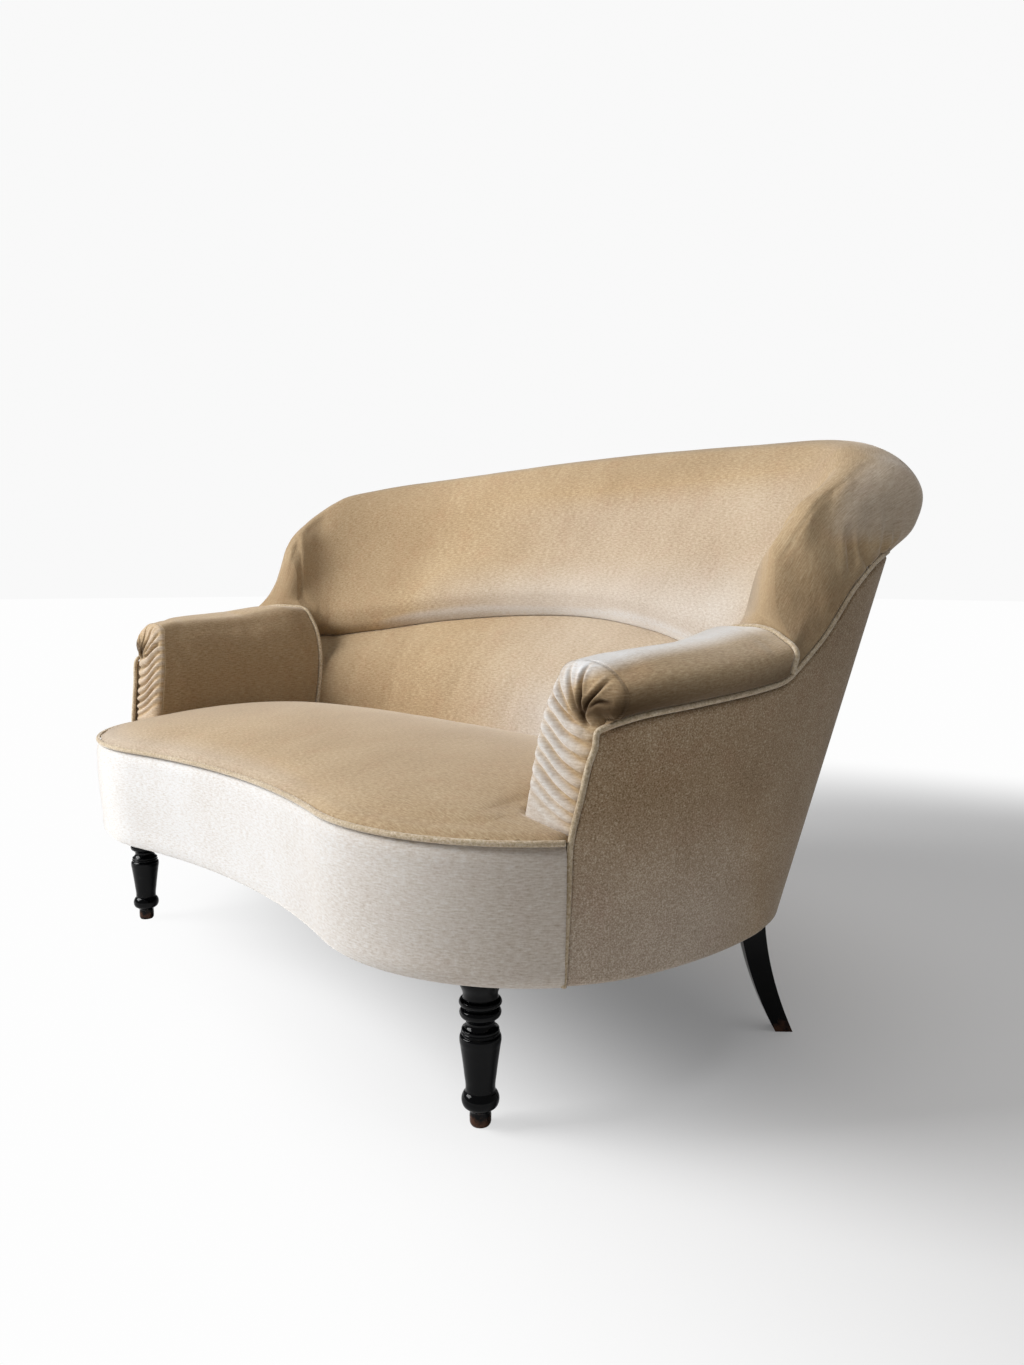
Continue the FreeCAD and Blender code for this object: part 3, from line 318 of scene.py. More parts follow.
def mesh_piece(name, vertices, faces, uv=None):
    """A mesh object from whole arrays, its faces turned to point outwards if its signed volume,
    a sixth of the sum of each fan triangle's triple product, comes out negative."""
    vertices = np.asarray(vertices, float).reshape(-1, 3)
    quads = np.array([f if len(f) == 4 else (*f, f[0]) for f in faces])
    a, b, c, d = (vertices[quads[:, k]] - vertices.mean(0) for k in range(4))
    volume = (a * np.cross(b, c)).sum() + (a * np.cross(c, d)).sum()
    if volume < 0:
        faces = [tuple(reversed(f)) for f in faces]
    mesh = bpy.data.meshes.new(name)
    mesh.from_pydata(vertices, [], faces)
    mesh.polygons.foreach_set("use_smooth", np.full(len(mesh.polygons), True))
    if uv is not None:
        layer = mesh.uv_layers.new(name="cloth")
        corner = np.zeros(len(mesh.loops), int)
        mesh.loops.foreach_get("vertex_index", corner)
        layer.data.foreach_set("uv", np.asarray(uv, float).reshape(-1, 2)[corner].ravel())
    mesh.validate()
    piece = bpy.data.objects.new(name, mesh)
    bpy.context.scene.collection.objects.link(piece)
    return piece


def tube(name, grid, uv=None):
    """A closed shell from a grid whose rows go round and whose columns go along, with a fan of
    triangles about its mean point at either end."""
    m, n = grid.shape[:2]
    number = np.arange(m * n).reshape(m, n)
    here, ahead = number, np.roll(number, -1, axis=0)
    quads = np.stack([here[:, :-1], ahead[:, :-1], ahead[:, 1:], here[:, 1:]], -1).reshape(-1, 4)
    vertices = np.vstack([grid.reshape(-1, 3), grid[:, 0].mean(0), grid[:, -1].mean(0)])
    first = np.stack([ahead[:, 0], here[:, 0], np.full(m, m * n)], -1)
    last = np.stack([here[:, -1], ahead[:, -1], np.full(m, m * n + 1)], -1)
    if uv is None:
        along = np.linalg.norm(np.diff(grid, axis=1), axis=2).mean(0)
        across = np.linalg.norm(np.diff(grid, axis=0), axis=2).mean(1)
        u, v = np.concatenate([[0], np.cumsum(along)]), np.concatenate([[0], np.cumsum(across)])
        uv = np.stack(np.broadcast_arrays(u[None, :], v[:, None]), -1)
    uv = np.vstack([uv.reshape(-1, 2), uv[:, 0].mean(0), uv[:, -1].mean(0)])
    faces = [*quads.tolist(), *first.tolist(), *last.tolist()]
    return mesh_piece(name, vertices, [tuple(face) for face in faces], uv)


def mirrored(grid):
    """The same grid on the other side of the middle: x changes its sign."""
    return grid * np.array([-1.0, 1.0, 1.0])


def both_sides(grid):
    """A grid with the name of its side, then its mirror image with the other's."""
    return ("right", grid), ("left", mirrored(grid))


print("a point and its mirror image", [spots.tolist() for _, spots in both_sides(np.ones(3))])

# %% [markdown]
# Pleats, gathers and creases are valleys along paths given on the cover. Sculpting
# them would work as well, but a distance from a path keeps them sharp and easy to move.

# %% Creases


def grid_normals(grid):
    """Outward directions on a closed grid: the cross product of the step round and the step along."""
    around = np.roll(grid, -1, axis=0) - np.roll(grid, 1, axis=0)
    normal = np.cross(around, np.gradient(grid, axis=1))
    normal /= np.linalg.norm(normal, axis=-1, keepdims=True) + 1e-12
    return normal * np.sign(((grid - grid.mean((0, 1))) * normal).sum())


def smooth_exact(place, value, s):
    """Cubic through all values, whose slope at each is the weighted mean of both rises."""
    gap, rise = np.diff(place), np.diff(value) / np.diff(place)
    inner = (gap[1:] * rise[:-1] + gap[:-1] * rise[1:]) / (gap[1:] + gap[:-1])
    slope = np.concatenate([rise[:1], inner, rise[-1:]])
    k = np.clip(np.searchsorted(place, s, side="right") - 1, 0, len(place) - 2)
    t = (s - place[k]) / gap[k]
    ends = value[k] * (2 * t**3 - 3 * t**2 + 1) + value[k + 1] * (3 * t**2 - 2 * t**3)
    return ends + gap[k] * (slope[k] * (t**3 - 2 * t**2 + t) + slope[k + 1] * (t**3 - t**2))


def along_path(path, count):
    """The same path with evenly spaced points, smooth between the given ones."""
    gap = np.linalg.norm(np.diff(path, axis=0), axis=1)
    place = np.concatenate([[0.0], np.cumsum(gap)])
    want = np.linspace(0.0, place[-1], count)
    return np.stack([smooth_exact(place, path[:, k], want) for k in range(path.shape[1])], -1)


def crease_depth(spots, creases, samples=60):
    """How deep creases sink the cloth at some spots. Each crease is a path, a depth and a width:
    the cloth sinks by depth times exp of minus the square of distance over width, bulges beside
    it by two fifths of that, and both die out towards the path's ends."""
    sink = np.zeros(spots.shape[:-1])
    for path, depth, width in creases:
        line = along_path(np.array(path, float), samples)
        close = np.all((spots > line.min(0) - 5 * width) & (spots < line.max(0) + 5 * width), axis=-1)
        gap = np.linalg.norm(spots[close][:, None] - line[None], axis=-1)
        if not gap.size:
            continue
        fade = np.sin(np.pi * np.clip(gap.argmin(1) / (samples - 1.0), 0.03, 0.97)) ** 0.6
        gap = gap.min(1) / width
        sink[close] += depth * fade * (np.exp(-gap**2) - 0.4 * np.exp(-(((gap - 2.2) / 1.2) ** 2)))
    return sink


def creased(grid, first, creases):
    """A closed grid in metres with creases drawn into it. Their paths are in millimetres, about
    the middle of the front legs' line, on the cloth as it lay first, before it settled."""
    raw = first / MM + np.array([0.0, BOX_MIDDLE_Y, 0.0])
    return grid - grid_normals(grid) * crease_depth(raw, creases)[..., None] * MM


trial_crease = [([(0, 0), (5, 0), (10, 0)], 2.0, 1.0)]
print("a crease of 2 mm sinks", crease_depth(np.array([[5.0, 0.0]]), trial_crease).round(2), "mm")

# %% [markdown]
# A cover that is pulled over hair and wadding swells between its seams. Pushing the points out by
# a formula would do for a ball, but the real surface comes from the cloth's own pull, so a coarse
# copy of each pad is given to Blender's cloth simulation, and its movement is carried over.

# %% Settling the cloth
CLOTH_FRAMES, EVERY = 20, 2


def settled(name, grid, free, cap, pressure=4.0, calm=3):
    """The grid after its cloth has settled over the filling. A copy of the shell with every second
    row and column is simulated with pressure inside and no weight, for twenty frames, held fast
    where free is nought. Its movement, kept under a cap in metres and calmed by averaging it with
    its neighbours a few times, is then given to every point between."""
    m, n = grid.shape[:2]
    rows, columns = np.arange(0, m, EVERY), np.unique(np.append(np.arange(0, n, EVERY), n - 1))
    piece = tube(name, grid[np.ix_(rows, columns)])
    held = np.append(1.0 - free[np.ix_(rows, columns)].ravel(), [1.0, 1.0])
    group = piece.vertex_groups.new(name="sewn")
    for number in np.flatnonzero(held > 0.0):
        group.add([int(number)], float(held[number]), "REPLACE")
    # a cover a little larger than its filling, stiff along the threads and soft in bending
    cloth = piece.modifiers.new("cloth", "CLOTH")
    cloth.settings.quality = 6
    cloth.settings.mass = 0.25
    cloth.settings.tension_stiffness = cloth.settings.compression_stiffness = 12.0
    cloth.settings.bending_stiffness = 0.4
    cloth.settings.shrink_min = -0.012
    cloth.settings.vertex_group_mass = "sewn"
    cloth.settings.use_pressure = True
    cloth.settings.uniform_pressure_force = pressure
    cloth.settings.effector_weights.gravity = 0.0
    cloth.point_cache.frame_start, cloth.point_cache.frame_end = 1, CLOTH_FRAMES
    for number in range(1, CLOTH_FRAMES + 1):
        bpy.context.scene.frame_set(number)
    after = piece.evaluated_get(bpy.context.evaluated_depsgraph_get()).to_mesh()
    spots = np.zeros(len(after.vertices) * 3)
    after.vertices.foreach_get("co", spots)
    move = spots.reshape(-1, 3)[:-2].reshape(len(rows), len(columns), 3) - grid[np.ix_(rows, columns)]
    bpy.context.scene.frame_set(1)
    mesh = piece.data
    bpy.data.objects.remove(piece)
    bpy.data.meshes.remove(mesh)
    # the movement's length becomes cap times the hyperbolic tangent of length over cap
    length = np.linalg.norm(move, axis=-1, keepdims=True) + 1e-12
    move = move * cap * np.tanh(length / cap) / length
    for _ in range(calm):
        before = np.concatenate([move[:, :1], move[:, :-1]], axis=1)
        behind = np.concatenate([move[:, 1:], move[:, -1:]], axis=1)
        above, below = np.roll(move, 1, axis=0), np.roll(move, -1, axis=0)
        move = 0.5 * move + 0.125 * (before + behind + above + below)
    # by straight lines between the rows and columns that were simulated
    wrapped, row_places = np.concatenate([move, move[:1]], axis=0), np.append(rows, m)
    tall = np.stack([[np.interp(np.arange(m), row_places, wrapped[:, j, k]) for j in range(len(columns))]
                     for k in range(3)], -1)
    full = np.stack([[np.interp(np.arange(n), columns, tall[:, i, k]) for i in range(m)]
                     for k in range(3)], -1)
    print(name, "moved up to", round(float(np.abs(full).max() / MM), 1), "mm")
    return grid + full * np.clip(free, 0.0, 1.0)[..., None]


def between_seams(grid, seen_rows, margin):
    """How free each point of a pad is: one in the open, falling to nought over a margin in metres
    at the ends of the seen rows and at the first and last columns, by three times its square less
    two times its cube."""
    across = np.concatenate([[0.0], np.cumsum(np.linalg.norm(np.diff(grid, axis=0), axis=2).mean(1))])
    along = np.concatenate([[0.0], np.cumsum(np.linalg.norm(np.diff(grid, axis=1), axis=2).mean(0))])
    first, last = across[seen_rows[0]], across[seen_rows[1]]
    down = np.clip(np.minimum(across - first, last - across) / margin, 0.0, 1.0)
    sideways = np.clip(np.minimum(along, along[-1] - along) / margin, 0.0, 1.0)
    free = down[:, None] * sideways[None, :]
    return free**2 * (3.0 - 2.0 * free)


print(f"cloth settles for {CLOTH_FRAMES} frames")

# %% Dressing a piece


def step(v, low, high):
    """Nought below low, one above high, and between them three t squared less two t cubed."""
    t = np.clip((v - low) / (high - low), 0.0, 1.0)
    return t * t * (3.0 - 2.0 * t)


def dress(piece, material, nodes, lay=None):
    """Give a piece its finish and its body, and hide the nodes of the frame that it stands for. The
    last argument is a function of the place that gives how the pile lies, from -1 where it is
    raised to 1 where it is flat, and that also carries painted shade below nought and painted
    highlight above it."""
    piece.data.materials.clear()
    piece.data.materials.append(material)
    if lay is not None:
        spots = np.zeros(len(piece.data.vertices) * 3)
        piece.data.vertices.foreach_get("co", spots)
        # the attribute holds the pile's lay together with painted highlight and painted shade
        brushed = piece.data.attributes.new("lay", "FLOAT", "POINT")
        values = lay(*spots.reshape(-1, 3).T)
        brushed.data.foreach_set("value", values.astype(np.float32))
    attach(piece, "root")
    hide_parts(*nodes)
    print(piece.name, "faces", len(piece.data.polygons))
    return piece


print("half way up a step", float(step(0.5, 0.0, 1.0)))

# %% [markdown]
# ## Finishes
# The cover is a short-pile velvet, woven with a cotton back and a pile cut a millimetre or two
# high. Seen along the pile it goes pale, seen into the pile it goes deep, and its rows show as
# fine streaks. A painted picture of cloth would slide and repeat, so the pile is drawn with
# noise on the cloth's own coordinates, in millimetre sizes, and the shader's sheen does the glow.

# %% Material helpers


def linear(code):
    """An sRGB hex colour as linear values: below 0.04045 divided by 12.92, else a 2.4 power."""
    v = np.array([int(code[k:k + 2], 16) for k in (1, 3, 5)]) / 255.0
    v = np.where(v <= 0.04045, v / 12.92, ((v + 0.055) / 1.055) ** 2.4)
    return (*v.tolist(), 1.0)


def node_adder(tree):
    """A function that adds nodes to a tree. It takes a node's kind and its settings, and links or
    sets each input, called by its name with _ for a space, or by its number as i0, i1 and so on."""

    def add(kind, settings=None, **inputs):
        node = tree.nodes.new(kind)
        for key, value in (settings or {}).items():
            setattr(node, key, value)
        for key, value in inputs.items():
            numbered = key[0] == "i" and key[1:].isdigit()
            socket = node.inputs[int(key[1:]) if numbered else key.replace("_", " ")]
            if isinstance(value, bpy.types.NodeSocket):
                tree.links.new(value, socket)
            else:
                socket.default_value = value
        return node

    return add


def new_material(name):
    """An empty node material with its tree, its Principled shader and what adds its nodes."""
    material = bpy.data.materials.new(name)
    material.use_nodes = True
    tree = material.node_tree
    return material, tree, tree.nodes["Principled BSDF"], node_adder(tree)


print("sRGB #808080 is", round(linear("#808080")[0], 3), "in linear light")

# %% [markdown]
# The same velvet is on every cover. It is a mohair pile on a cotton back: dull, with no highlight of
# its own, but with a glow at the edges where the pile is seen from the side. The outside has been
# handled less and keeps its separate tufts, and its colours are darker, as painted shade on the
# sides turned from the lamps. On a cord the cloth is stretched and paler.

# %% Velvet
# colours the attribute mixes in: pale tips as painted highlight, dark roots as painted shade, and the
# sheen's tint
PALE_TIPS_AND_PAINTED_HIGHLIGHT, DARK_ROOTS_AND_PAINTED_SHADE, PILE_GLOW = "#d9d9d9", "#3d2a12", "#f2ece4"


def velvet(name, deep, middle, pale, rows_share, fleck=1.0, sheen=1.0, tuft=340.0):
    """Short-pile velvet. Deep, middle and pale are the colours it shows looking into the pile,
    across it and along it. Rows of pile run along the cloth's u, rows_share is how much they count
    beside the tufts, and fleck is how far single tufts stand out from each other. A point
    attribute says how the pile lies and also carries painted light: above nought the pale tips
    are mixed in as painted highlight, and below nought the dark roots are mixed in as painted shade."""
    material, tree, shader, add = new_material(name)
    place = add("ShaderNodeTexCoord")
    uv, spot = place.outputs["UV"], place.outputs["Object"]
    # rows of pile: noise stretched along the cloth, about 2 mm across and 10 mm long, which is
    # coarser than the real rows so that it shows
    along = add("ShaderNodeMapping", i0=uv, Scale=(100.0, 520.0, 1.0))
    rows = add("ShaderNodeTexNoise", {"noise_dimensions": "2D"}, Vector=along.outputs[0], Scale=1.0,
               Detail=2.0, Roughness=0.6)
    # tufts: two or three millimetres, as coarse as they need to be to show
    tufts = add("ShaderNodeTexNoise", Vector=spot, Scale=tuft, Detail=2.0, Roughness=0.7)
    # brushed areas, where a hand or a back has laid the pile over: about 150 mm
    brushed = add("ShaderNodeTexNoise", Vector=spot, Scale=7.0, Detail=4.0, Roughness=0.55)
    mixed = add("ShaderNodeMix", {"data_type": "FLOAT"}, i0=rows_share, i2=tufts.outputs["Fac"],
                i3=rows.outputs["Fac"])
    spread = 0.32 / fleck
    grain = add("ShaderNodeMapRange", Value=mixed.outputs[0], From_Min=0.5 - spread, From_Max=0.5 + spread)
    swept = add("ShaderNodeMapRange", Value=brushed.outputs["Fac"], From_Min=0.3, From_Max=0.7,
                To_Min=-0.10, To_Max=0.10)
    level = add("ShaderNodeMath", {"operation": "ADD", "use_clamp": True}, i0=grain.outputs[0],
                i1=swept.outputs[0])
    ramp = add("ShaderNodeValToRGB", Fac=level.outputs[0])
    ramp.color_ramp.elements[0].color = linear(deep)
    ramp.color_ramp.elements[1].color = linear(pale)
    ramp.color_ramp.elements.new(0.5).color = linear(middle)
    # the dye has faded unevenly: a little towards rose in patches of about 40 mm
    warmth = add("ShaderNodeTexNoise", Vector=spot, Scale=24.0, Detail=3.0, Roughness=0.7)
    rosy = add("ShaderNodeMapRange", Value=warmth.outputs["Fac"], From_Min=0.5, From_Max=0.75, To_Max=0.25)
    dyed = add("ShaderNodeMix", {"data_type": "RGBA", "blend_type": "MULTIPLY"}, i0=rosy.outputs[0],
               i6=ramp.outputs[0], i7=linear("#f6dcd6"))
    # pale, cool tips where the attribute is above nought: pile laid flat, and painted highlight
    lay = add("ShaderNodeAttribute", {"attribute_name": "lay"})
    rough = add("ShaderNodeMapRange", Value=level.outputs[0], From_Min=0.1, From_Max=0.9, To_Min=0.55,
                To_Max=1.35)
    tips_and_painted_highlight = add("ShaderNodeMath", {"operation": "MULTIPLY", "use_clamp": True}, i0=rough.outputs[0],
               i1=lay.outputs["Fac"])
    tone = add("ShaderNodeMix", {"data_type": "RGBA"}, i0=tips_and_painted_highlight.outputs[0], i6=dyed.outputs[2],
               i7=linear(PALE_TIPS_AND_PAINTED_HIGHLIGHT))
    # and dark roots where it is below nought: raised pile, and painted shade
    raised = add("ShaderNodeMath", {"operation": "MULTIPLY", "use_clamp": True}, i0=lay.outputs["Fac"],
                 i1=-1.0)
    shown = add("ShaderNodeMix", {"data_type": "RGBA"}, i0=raised.outputs[0], i6=tone.outputs[2],
                i7=linear(DARK_ROOTS_AND_PAINTED_SHADE))
    # the sheen's glow is weaker where the attribute is below nought, so it dims with the painted shade, and
    # the pile's own relief is about a millimetre
    glow = add("ShaderNodeMapRange", Value=lay.outputs["Fac"], From_Min=-0.6, From_Max=0.4,
               To_Min=0.25 * sheen, To_Max=sheen)
    bump = add("ShaderNodeBump", Strength=0.45, Distance=0.0012, Height=mixed.outputs[0])
    tree.links.new(shown.outputs[2], shader.inputs["Base Color"])
    tree.links.new(bump.outputs[0], shader.inputs["Normal"])
    shader.inputs["Roughness"].default_value = 0.85
    shader.inputs["Specular IOR Level"].default_value = 0.2
    tree.links.new(glow.outputs[0], shader.inputs["Sheen Weight"])
    shader.inputs["Sheen Roughness"].default_value = 0.4
    shader.inputs["Sheen Tint"].default_value = linear(PILE_GLOW)
    return material


GOLD_VELVET = velvet("gold_mohair_velvet", "#8c7251", "#b09775", "#cdb998", 0.6, sheen=0.9)
# the outside: separate tufts, and colours darker than the gold velvet's, as painted shade on the sides
# turned from the lamps
OUTSIDE_VELVET_WITH_PAINTED_SHADE = velvet("gold_velvet_outside_with_painted_shade", "#6f5a3c", "#a0876a", "#d2c2a8", 0.15, 1.35, 0.7, 520.0)
WELT_VELVET = velvet("gold_velvet_on_cord", "#85745c", "#b8a68a", "#ddd2c0", 0.3, 1.3)
print("velvets", GOLD_VELVET.name, OUTSIDE_VELVET_WITH_PAINTED_SHADE.name, WELT_VELVET.name)

# %% [markdown]
# Everything else is plainer. The legs are beech, stained black and polished, and the rest is
# hidden under the covers: sawn beech, jute, hessian, curled hair, spring wire and a black cotton.
# Each could have a picture of its own, but one noise, stretched to the grain or the thread in
# millimetres, gives all of them what the eye needs.

# %% Wood, metal and the cloths inside


def noise_material(name, dark, light, scale, stretch=(1.0, 1.0, 1.0), roughness=0.6, metallic=0.0,
                   bump=0.2, gloss=0.5):
    """One noise between two colours, stretched like grain or thread, with a matching bump. Its
    size in millimetres is a thousand over the product of scale and stretch."""
    material, tree, shader, add = new_material(name)
    place = add("ShaderNodeTexCoord")
    turned = add("ShaderNodeMapping", i0=place.outputs["Object"], Scale=stretch)
    noise = add("ShaderNodeTexNoise", Vector=turned.outputs[0], Scale=scale, Detail=4.0, Roughness=0.6)
    ramp = add("ShaderNodeValToRGB", Fac=noise.outputs["Fac"])
    ramp.color_ramp.elements[0].position, ramp.color_ramp.elements[1].position = 0.3, 0.7
    ramp.color_ramp.elements[0].color = linear(dark)
    ramp.color_ramp.elements[1].color = linear(light)
    raised = add("ShaderNodeBump", Strength=bump, Distance=0.0005, Height=noise.outputs["Fac"])
    tree.links.new(ramp.outputs[0], shader.inputs["Base Color"])
    tree.links.new(raised.outputs[0], shader.inputs["Normal"])
    shader.inputs["Roughness"].default_value = roughness
    shader.inputs["Metallic"].default_value = metallic
    shader.inputs["Specular IOR Level"].default_value = gloss
    return material


# sawn beech, left raw: pale and dull, with upright grain about 4 mm across and 30 mm long
BEECH = noise_material("sawn_beech", "#b98f62", "#d9b68a", 30.0, (8.0, 8.0, 1.0))
# turned beech, stained black and polished: nearly no colour, sharp highlights, a faint 3 mm grain
EBONISED = noise_material("ebonised_beech", "#020203", "#050608", 60.0, (6.0, 6.0, 1.0), 0.09, bump=0.03,
                          gloss=0.15)
# woven jute: dry and coarse, yarns of 2 mm
JUTE = noise_material("jute_webbing", "#8a6f47", "#b59a6c", 500.0, roughness=0.95)
# spring wire with a thin copper wash: a dull brown metal, clouded every centimetre
STEEL = noise_material("coppered_spring_steel", "#6b5a4c", "#98826e", 90.0, roughness=0.4, metallic=1.0)
# loosely woven jute cloth: dry, a little paler than the webs, threads of 2 mm
HESSIAN = noise_material("hessian", "#94774c", "#c0a478", 420.0, roughness=0.95)
# curled hair: a dark brown mat of 6 mm curls
HORSEHAIR = noise_material("curled_horsehair", "#241b14", "#4a392a", 160.0, roughness=0.9)
# black cotton: dull, its weave drawn at 2 mm, which is coarser than real so that it shows
DUST_CLOTH = noise_material("black_dust_cloth", "#17161a", "#26252a", 450.0, roughness=0.95)
print("plain materials", len(bpy.data.materials), "with the velvets")

# %% Wear and slots
BARE_WOOD, WORN_UP_TO, WORN_THROUGH = "#4a3022", 0.034, 0.002


def wear_at_the_foot(material):
    """Where the black has rubbed off near the floor, the brown of the wood shows: a noise of 9 mm
    patches times a factor that rises from nought at 34 mm up to one at 2 mm, cut off sharply."""
    tree = material.node_tree
    shader, add = tree.nodes["Principled BSDF"], node_adder(tree)
    black = shader.inputs["Base Color"].links[0].from_socket
    place = add("ShaderNodeTexCoord")
    apart = add("ShaderNodeSeparateXYZ", i0=place.outputs["Object"])
    patches = add("ShaderNodeTexNoise", Vector=place.outputs["Object"], Scale=110.0)
    low = add("ShaderNodeMapRange", Value=apart.outputs["Z"], From_Min=WORN_UP_TO, From_Max=WORN_THROUGH)
    both = add("ShaderNodeMath", {"operation": "MULTIPLY"}, i0=low.outputs[0], i1=patches.outputs["Fac"])
    sharp = add("ShaderNodeMapRange", Value=both.outputs[0], From_Min=0.27, From_Max=0.50)
    mix = add("ShaderNodeMix", {"data_type": "RGBA"}, i0=sharp.outputs[0], i6=black, i7=linear(BARE_WOOD))
    tree.links.new(mix.outputs[2], shader.inputs["Base Color"])


wear_at_the_foot(EBONISED)
SLOT_MATERIAL = {"beech": BEECH, "ebonised_wood": EBONISED, "gold_velvet": GOLD_VELVET,
                 "piping_velvet": WELT_VELVET, "jute_webbing": JUTE, "spring_steel": STEEL,
                 "hessian": HESSIAN, "horsehair": HORSEHAIR, "dust_cloth": DUST_CLOTH}
SLOT_OF = {entry["node"]: entry["material_slot"] for entry in frame["record"]["subparts"]}
for node_name, node in frame["nodes"].items():
    node.data.materials.clear()
    node.data.materials.append(SLOT_MATERIAL[SLOT_OF[node_name]])
print("nodes with a slot", len(SLOT_OF), "of", len(frame["nodes"]))

# %% [markdown]
# ## The arms
# Each arm is a pad of horsehair and wadding hooked over the arm rail: a flat inner face, a low
# roll on top and a lip outside. It ends at the tilted plane where it meets the back. A box with
# bevels would give a roll of one size only. The slices let it grow and turn along the arm.

# %% The plane between arm and back
outer_x, outer_y = panel_point(ARM_BACK, smooth(PANEL_TOP, ARM_BACK))
JOINT_FOOT = points(*ARM_FOOT_BACK, SEAT_EDGE_Z)
JOINT_RIDGE = points(597.0, 357.0, 573.0)
JOINT_OUTER = points(outer_x, outer_y, smooth(PANEL_TOP, ARM_BACK))
joint_normal = np.cross(JOINT_RIDGE - JOINT_FOOT, JOINT_OUTER - JOINT_FOOT)
joint_normal *= np.sign(joint_normal[1]) / np.linalg.norm(joint_normal)
HALF_WELT = WELT_R + 0.3
print("plane between arm and back looks along", joint_normal.round(2))


def beyond(p):
    """How far points lie on the back's side of the plane, in millimetres."""
    return (p - JOINT_RIDGE) @ joint_normal / MM


def place_and_shift(s):
    """Places up to the arm's end as they are, and the rest as a straight shift of that slice."""
    return np.minimum(s, ARM_BACK), np.maximum(s - ARM_BACK, 0.0)


def wing_place_and_shift(s):
    """The same for the wing, whose first slice steps forward instead."""
    return np.maximum(s, ARM_BACK), np.minimum(s - ARM_BACK, 0.0)


def meet_plane(control_of, rows, split, low, high, offset):
    """The place on each row at which a pad comes to the plane moved by an offset, by halving."""
    low, high = np.full((len(rows), 1), low), np.full((len(rows), 1), high)
    for _ in range(24):
        middle = 0.5 * (low + high)
        s, shift = split(middle)
        short = beyond(pad_points(control_of, rows, s, shift)) < offset
        low, high = np.where(short, middle, low), np.where(short, high, middle)
    return low


# %% The arm pad


def arm_control(cut):
    """Control points of the arm pad: inner face, roll, lip, and two corners in the frame. Those
    that lie between two others are given as a share of the way from one to the other."""
    foot, ridge, over = cut.foot(), -smooth(ARM_RIDGE_IN, cut.s), smooth(ARM_OVERHANG, cut.s)
    ridge_z, under = smooth(ARM_RIDGE_Z, cut.s), cut.top + cut.room()
    lean, shoulder = foot + (ridge - foot) * 0.42, ridge_z - 26.0
    mid_z = under + (ridge_z - under) * 0.42
    flat = 0.0 * foot
    return [(foot, RAIL_TOP + flat), (foot, SEAT_EDGE_Z + flat), (lean, shoulder),
            (lean + (ridge - lean) * 0.27, ridge_z - 7.0), (ridge, ridge_z),
            (ridge + (over - ridge) * 0.68, mid_z + (ridge_z - mid_z) * 0.66), (over, mid_z),
            (over - 2.0, under + (mid_z - under) * 0.4), (np.minimum(4.0, over - 2.0), under),
            (-FRAME_ZONE + flat, under), (cut.panel(RAIL_TOP + flat) - FRAME_ZONE, RAIL_TOP + flat)]


arm_rows = profile_rows(middle_control(arm_control, 760.0), 2, 4.5)
ARM_PAD_REACH = (ARM_PAD_START, ARM_BACK + 120.0)
arm_end = meet_plane(arm_control, arm_rows, place_and_shift, *ARM_PAD_REACH, -HALF_WELT)
arm_share = np.linspace(0.0, 1.0, 90)[None, :]
arm_s, arm_shift = place_and_shift(ARM_PAD_START + (arm_end - ARM_PAD_START) * arm_share)
arm_first = pad_points(arm_control, arm_rows, arm_s, arm_shift)
arm_free = between_seams(arm_first, (4, len(arm_rows) - 5), 0.035)
arm_grid = settled("arm_trial", arm_first, arm_free, 0.004)
# the gathers at the front of the roll, as paths on the cover with their depth and width
GATHERED_FRONT = [([(560, 62, 548), (566, 100, 554), (570, 150, 560)], 1.0, 4.0),
                  ([(604, 64, 532), (612, 100, 540), (618, 140, 547)], 1.2, 4.0),
                  ([(622, 66, 508), (630, 96, 514), (636, 130, 520)], 1.0, 4.0)]
arm_grid = creased(arm_grid, arm_first, GATHERED_FRONT)
print("arm pad", arm_grid.shape, "points")

# %% [markdown]
# Pile that is laid flat looks pale, and raised pile looks dark. Which way it lies was matched to
# the pale and dark areas of the photograph, so left and right differ, and much of it is painted
# light: painted highlight where the lamps fall on the cover, and painted shade under the rolls, in
# creases and on faces turned from the lamps. A vertex paint could hold that. Here it is a formula
# of the place on the sofa, from -1 to 1, made of smooth steps. The places in those steps are in
# metres.

# %% The pile and painted light on the arms
arm_line_s = np.linspace(ARM_PAD_START, ARM_BACK, 60)
arm_line = Slice(arm_line_s).place(-smooth(ARM_RIDGE_IN, arm_line_s), smooth(ARM_RIDGE_Z, arm_line_s))
arm_line_x, arm_line_y = arm_line[:, 0], arm_line[:, 1]


def arm_lay_and_painted_light(x, y, z):
    """Painted shade under the outside of the roll, and on the left arm's inner face, which is turned
    from the window lamp. Painted highlight along the inner top of the right arm's roll, which the
    photograph shows pale. It goes by how far out from the roll's ridge and how far below it a
    point is."""
    s = np.interp(y, arm_line_y, arm_line_s)
    out, down = np.abs(x) - np.interp(s, arm_line_s, arm_line_x), smooth(ARM_RIDGE_Z, s) * MM - z
    # under is painted shade below the outside of the roll, inner is painted shade on the left arm's inner
    # face, and the crest is painted highlight on the right arm
    under = step(down, 0.014, 0.050) * step(out, -0.012, 0.012)
    inner = step(-out, 0.012, 0.03)
    painted_highlight_on_crest = step(out, -0.045, -0.012) * (1.0 - step(down + 0.5 * out, 0.004, 0.036))
    front = 1.0 - step(y, -0.33, -0.12)
    return 1.05 * painted_highlight_on_crest * (x > 0) - (0.72 + 0.28 * front) * under - 0.34 * inner * (x < 0)


for side, grid in both_sides(arm_grid):
    dress(tube("arm_pad_cover_" + side, grid), GOLD_VELVET, ["arm_pad_" + side],
          arm_lay_and_painted_light)

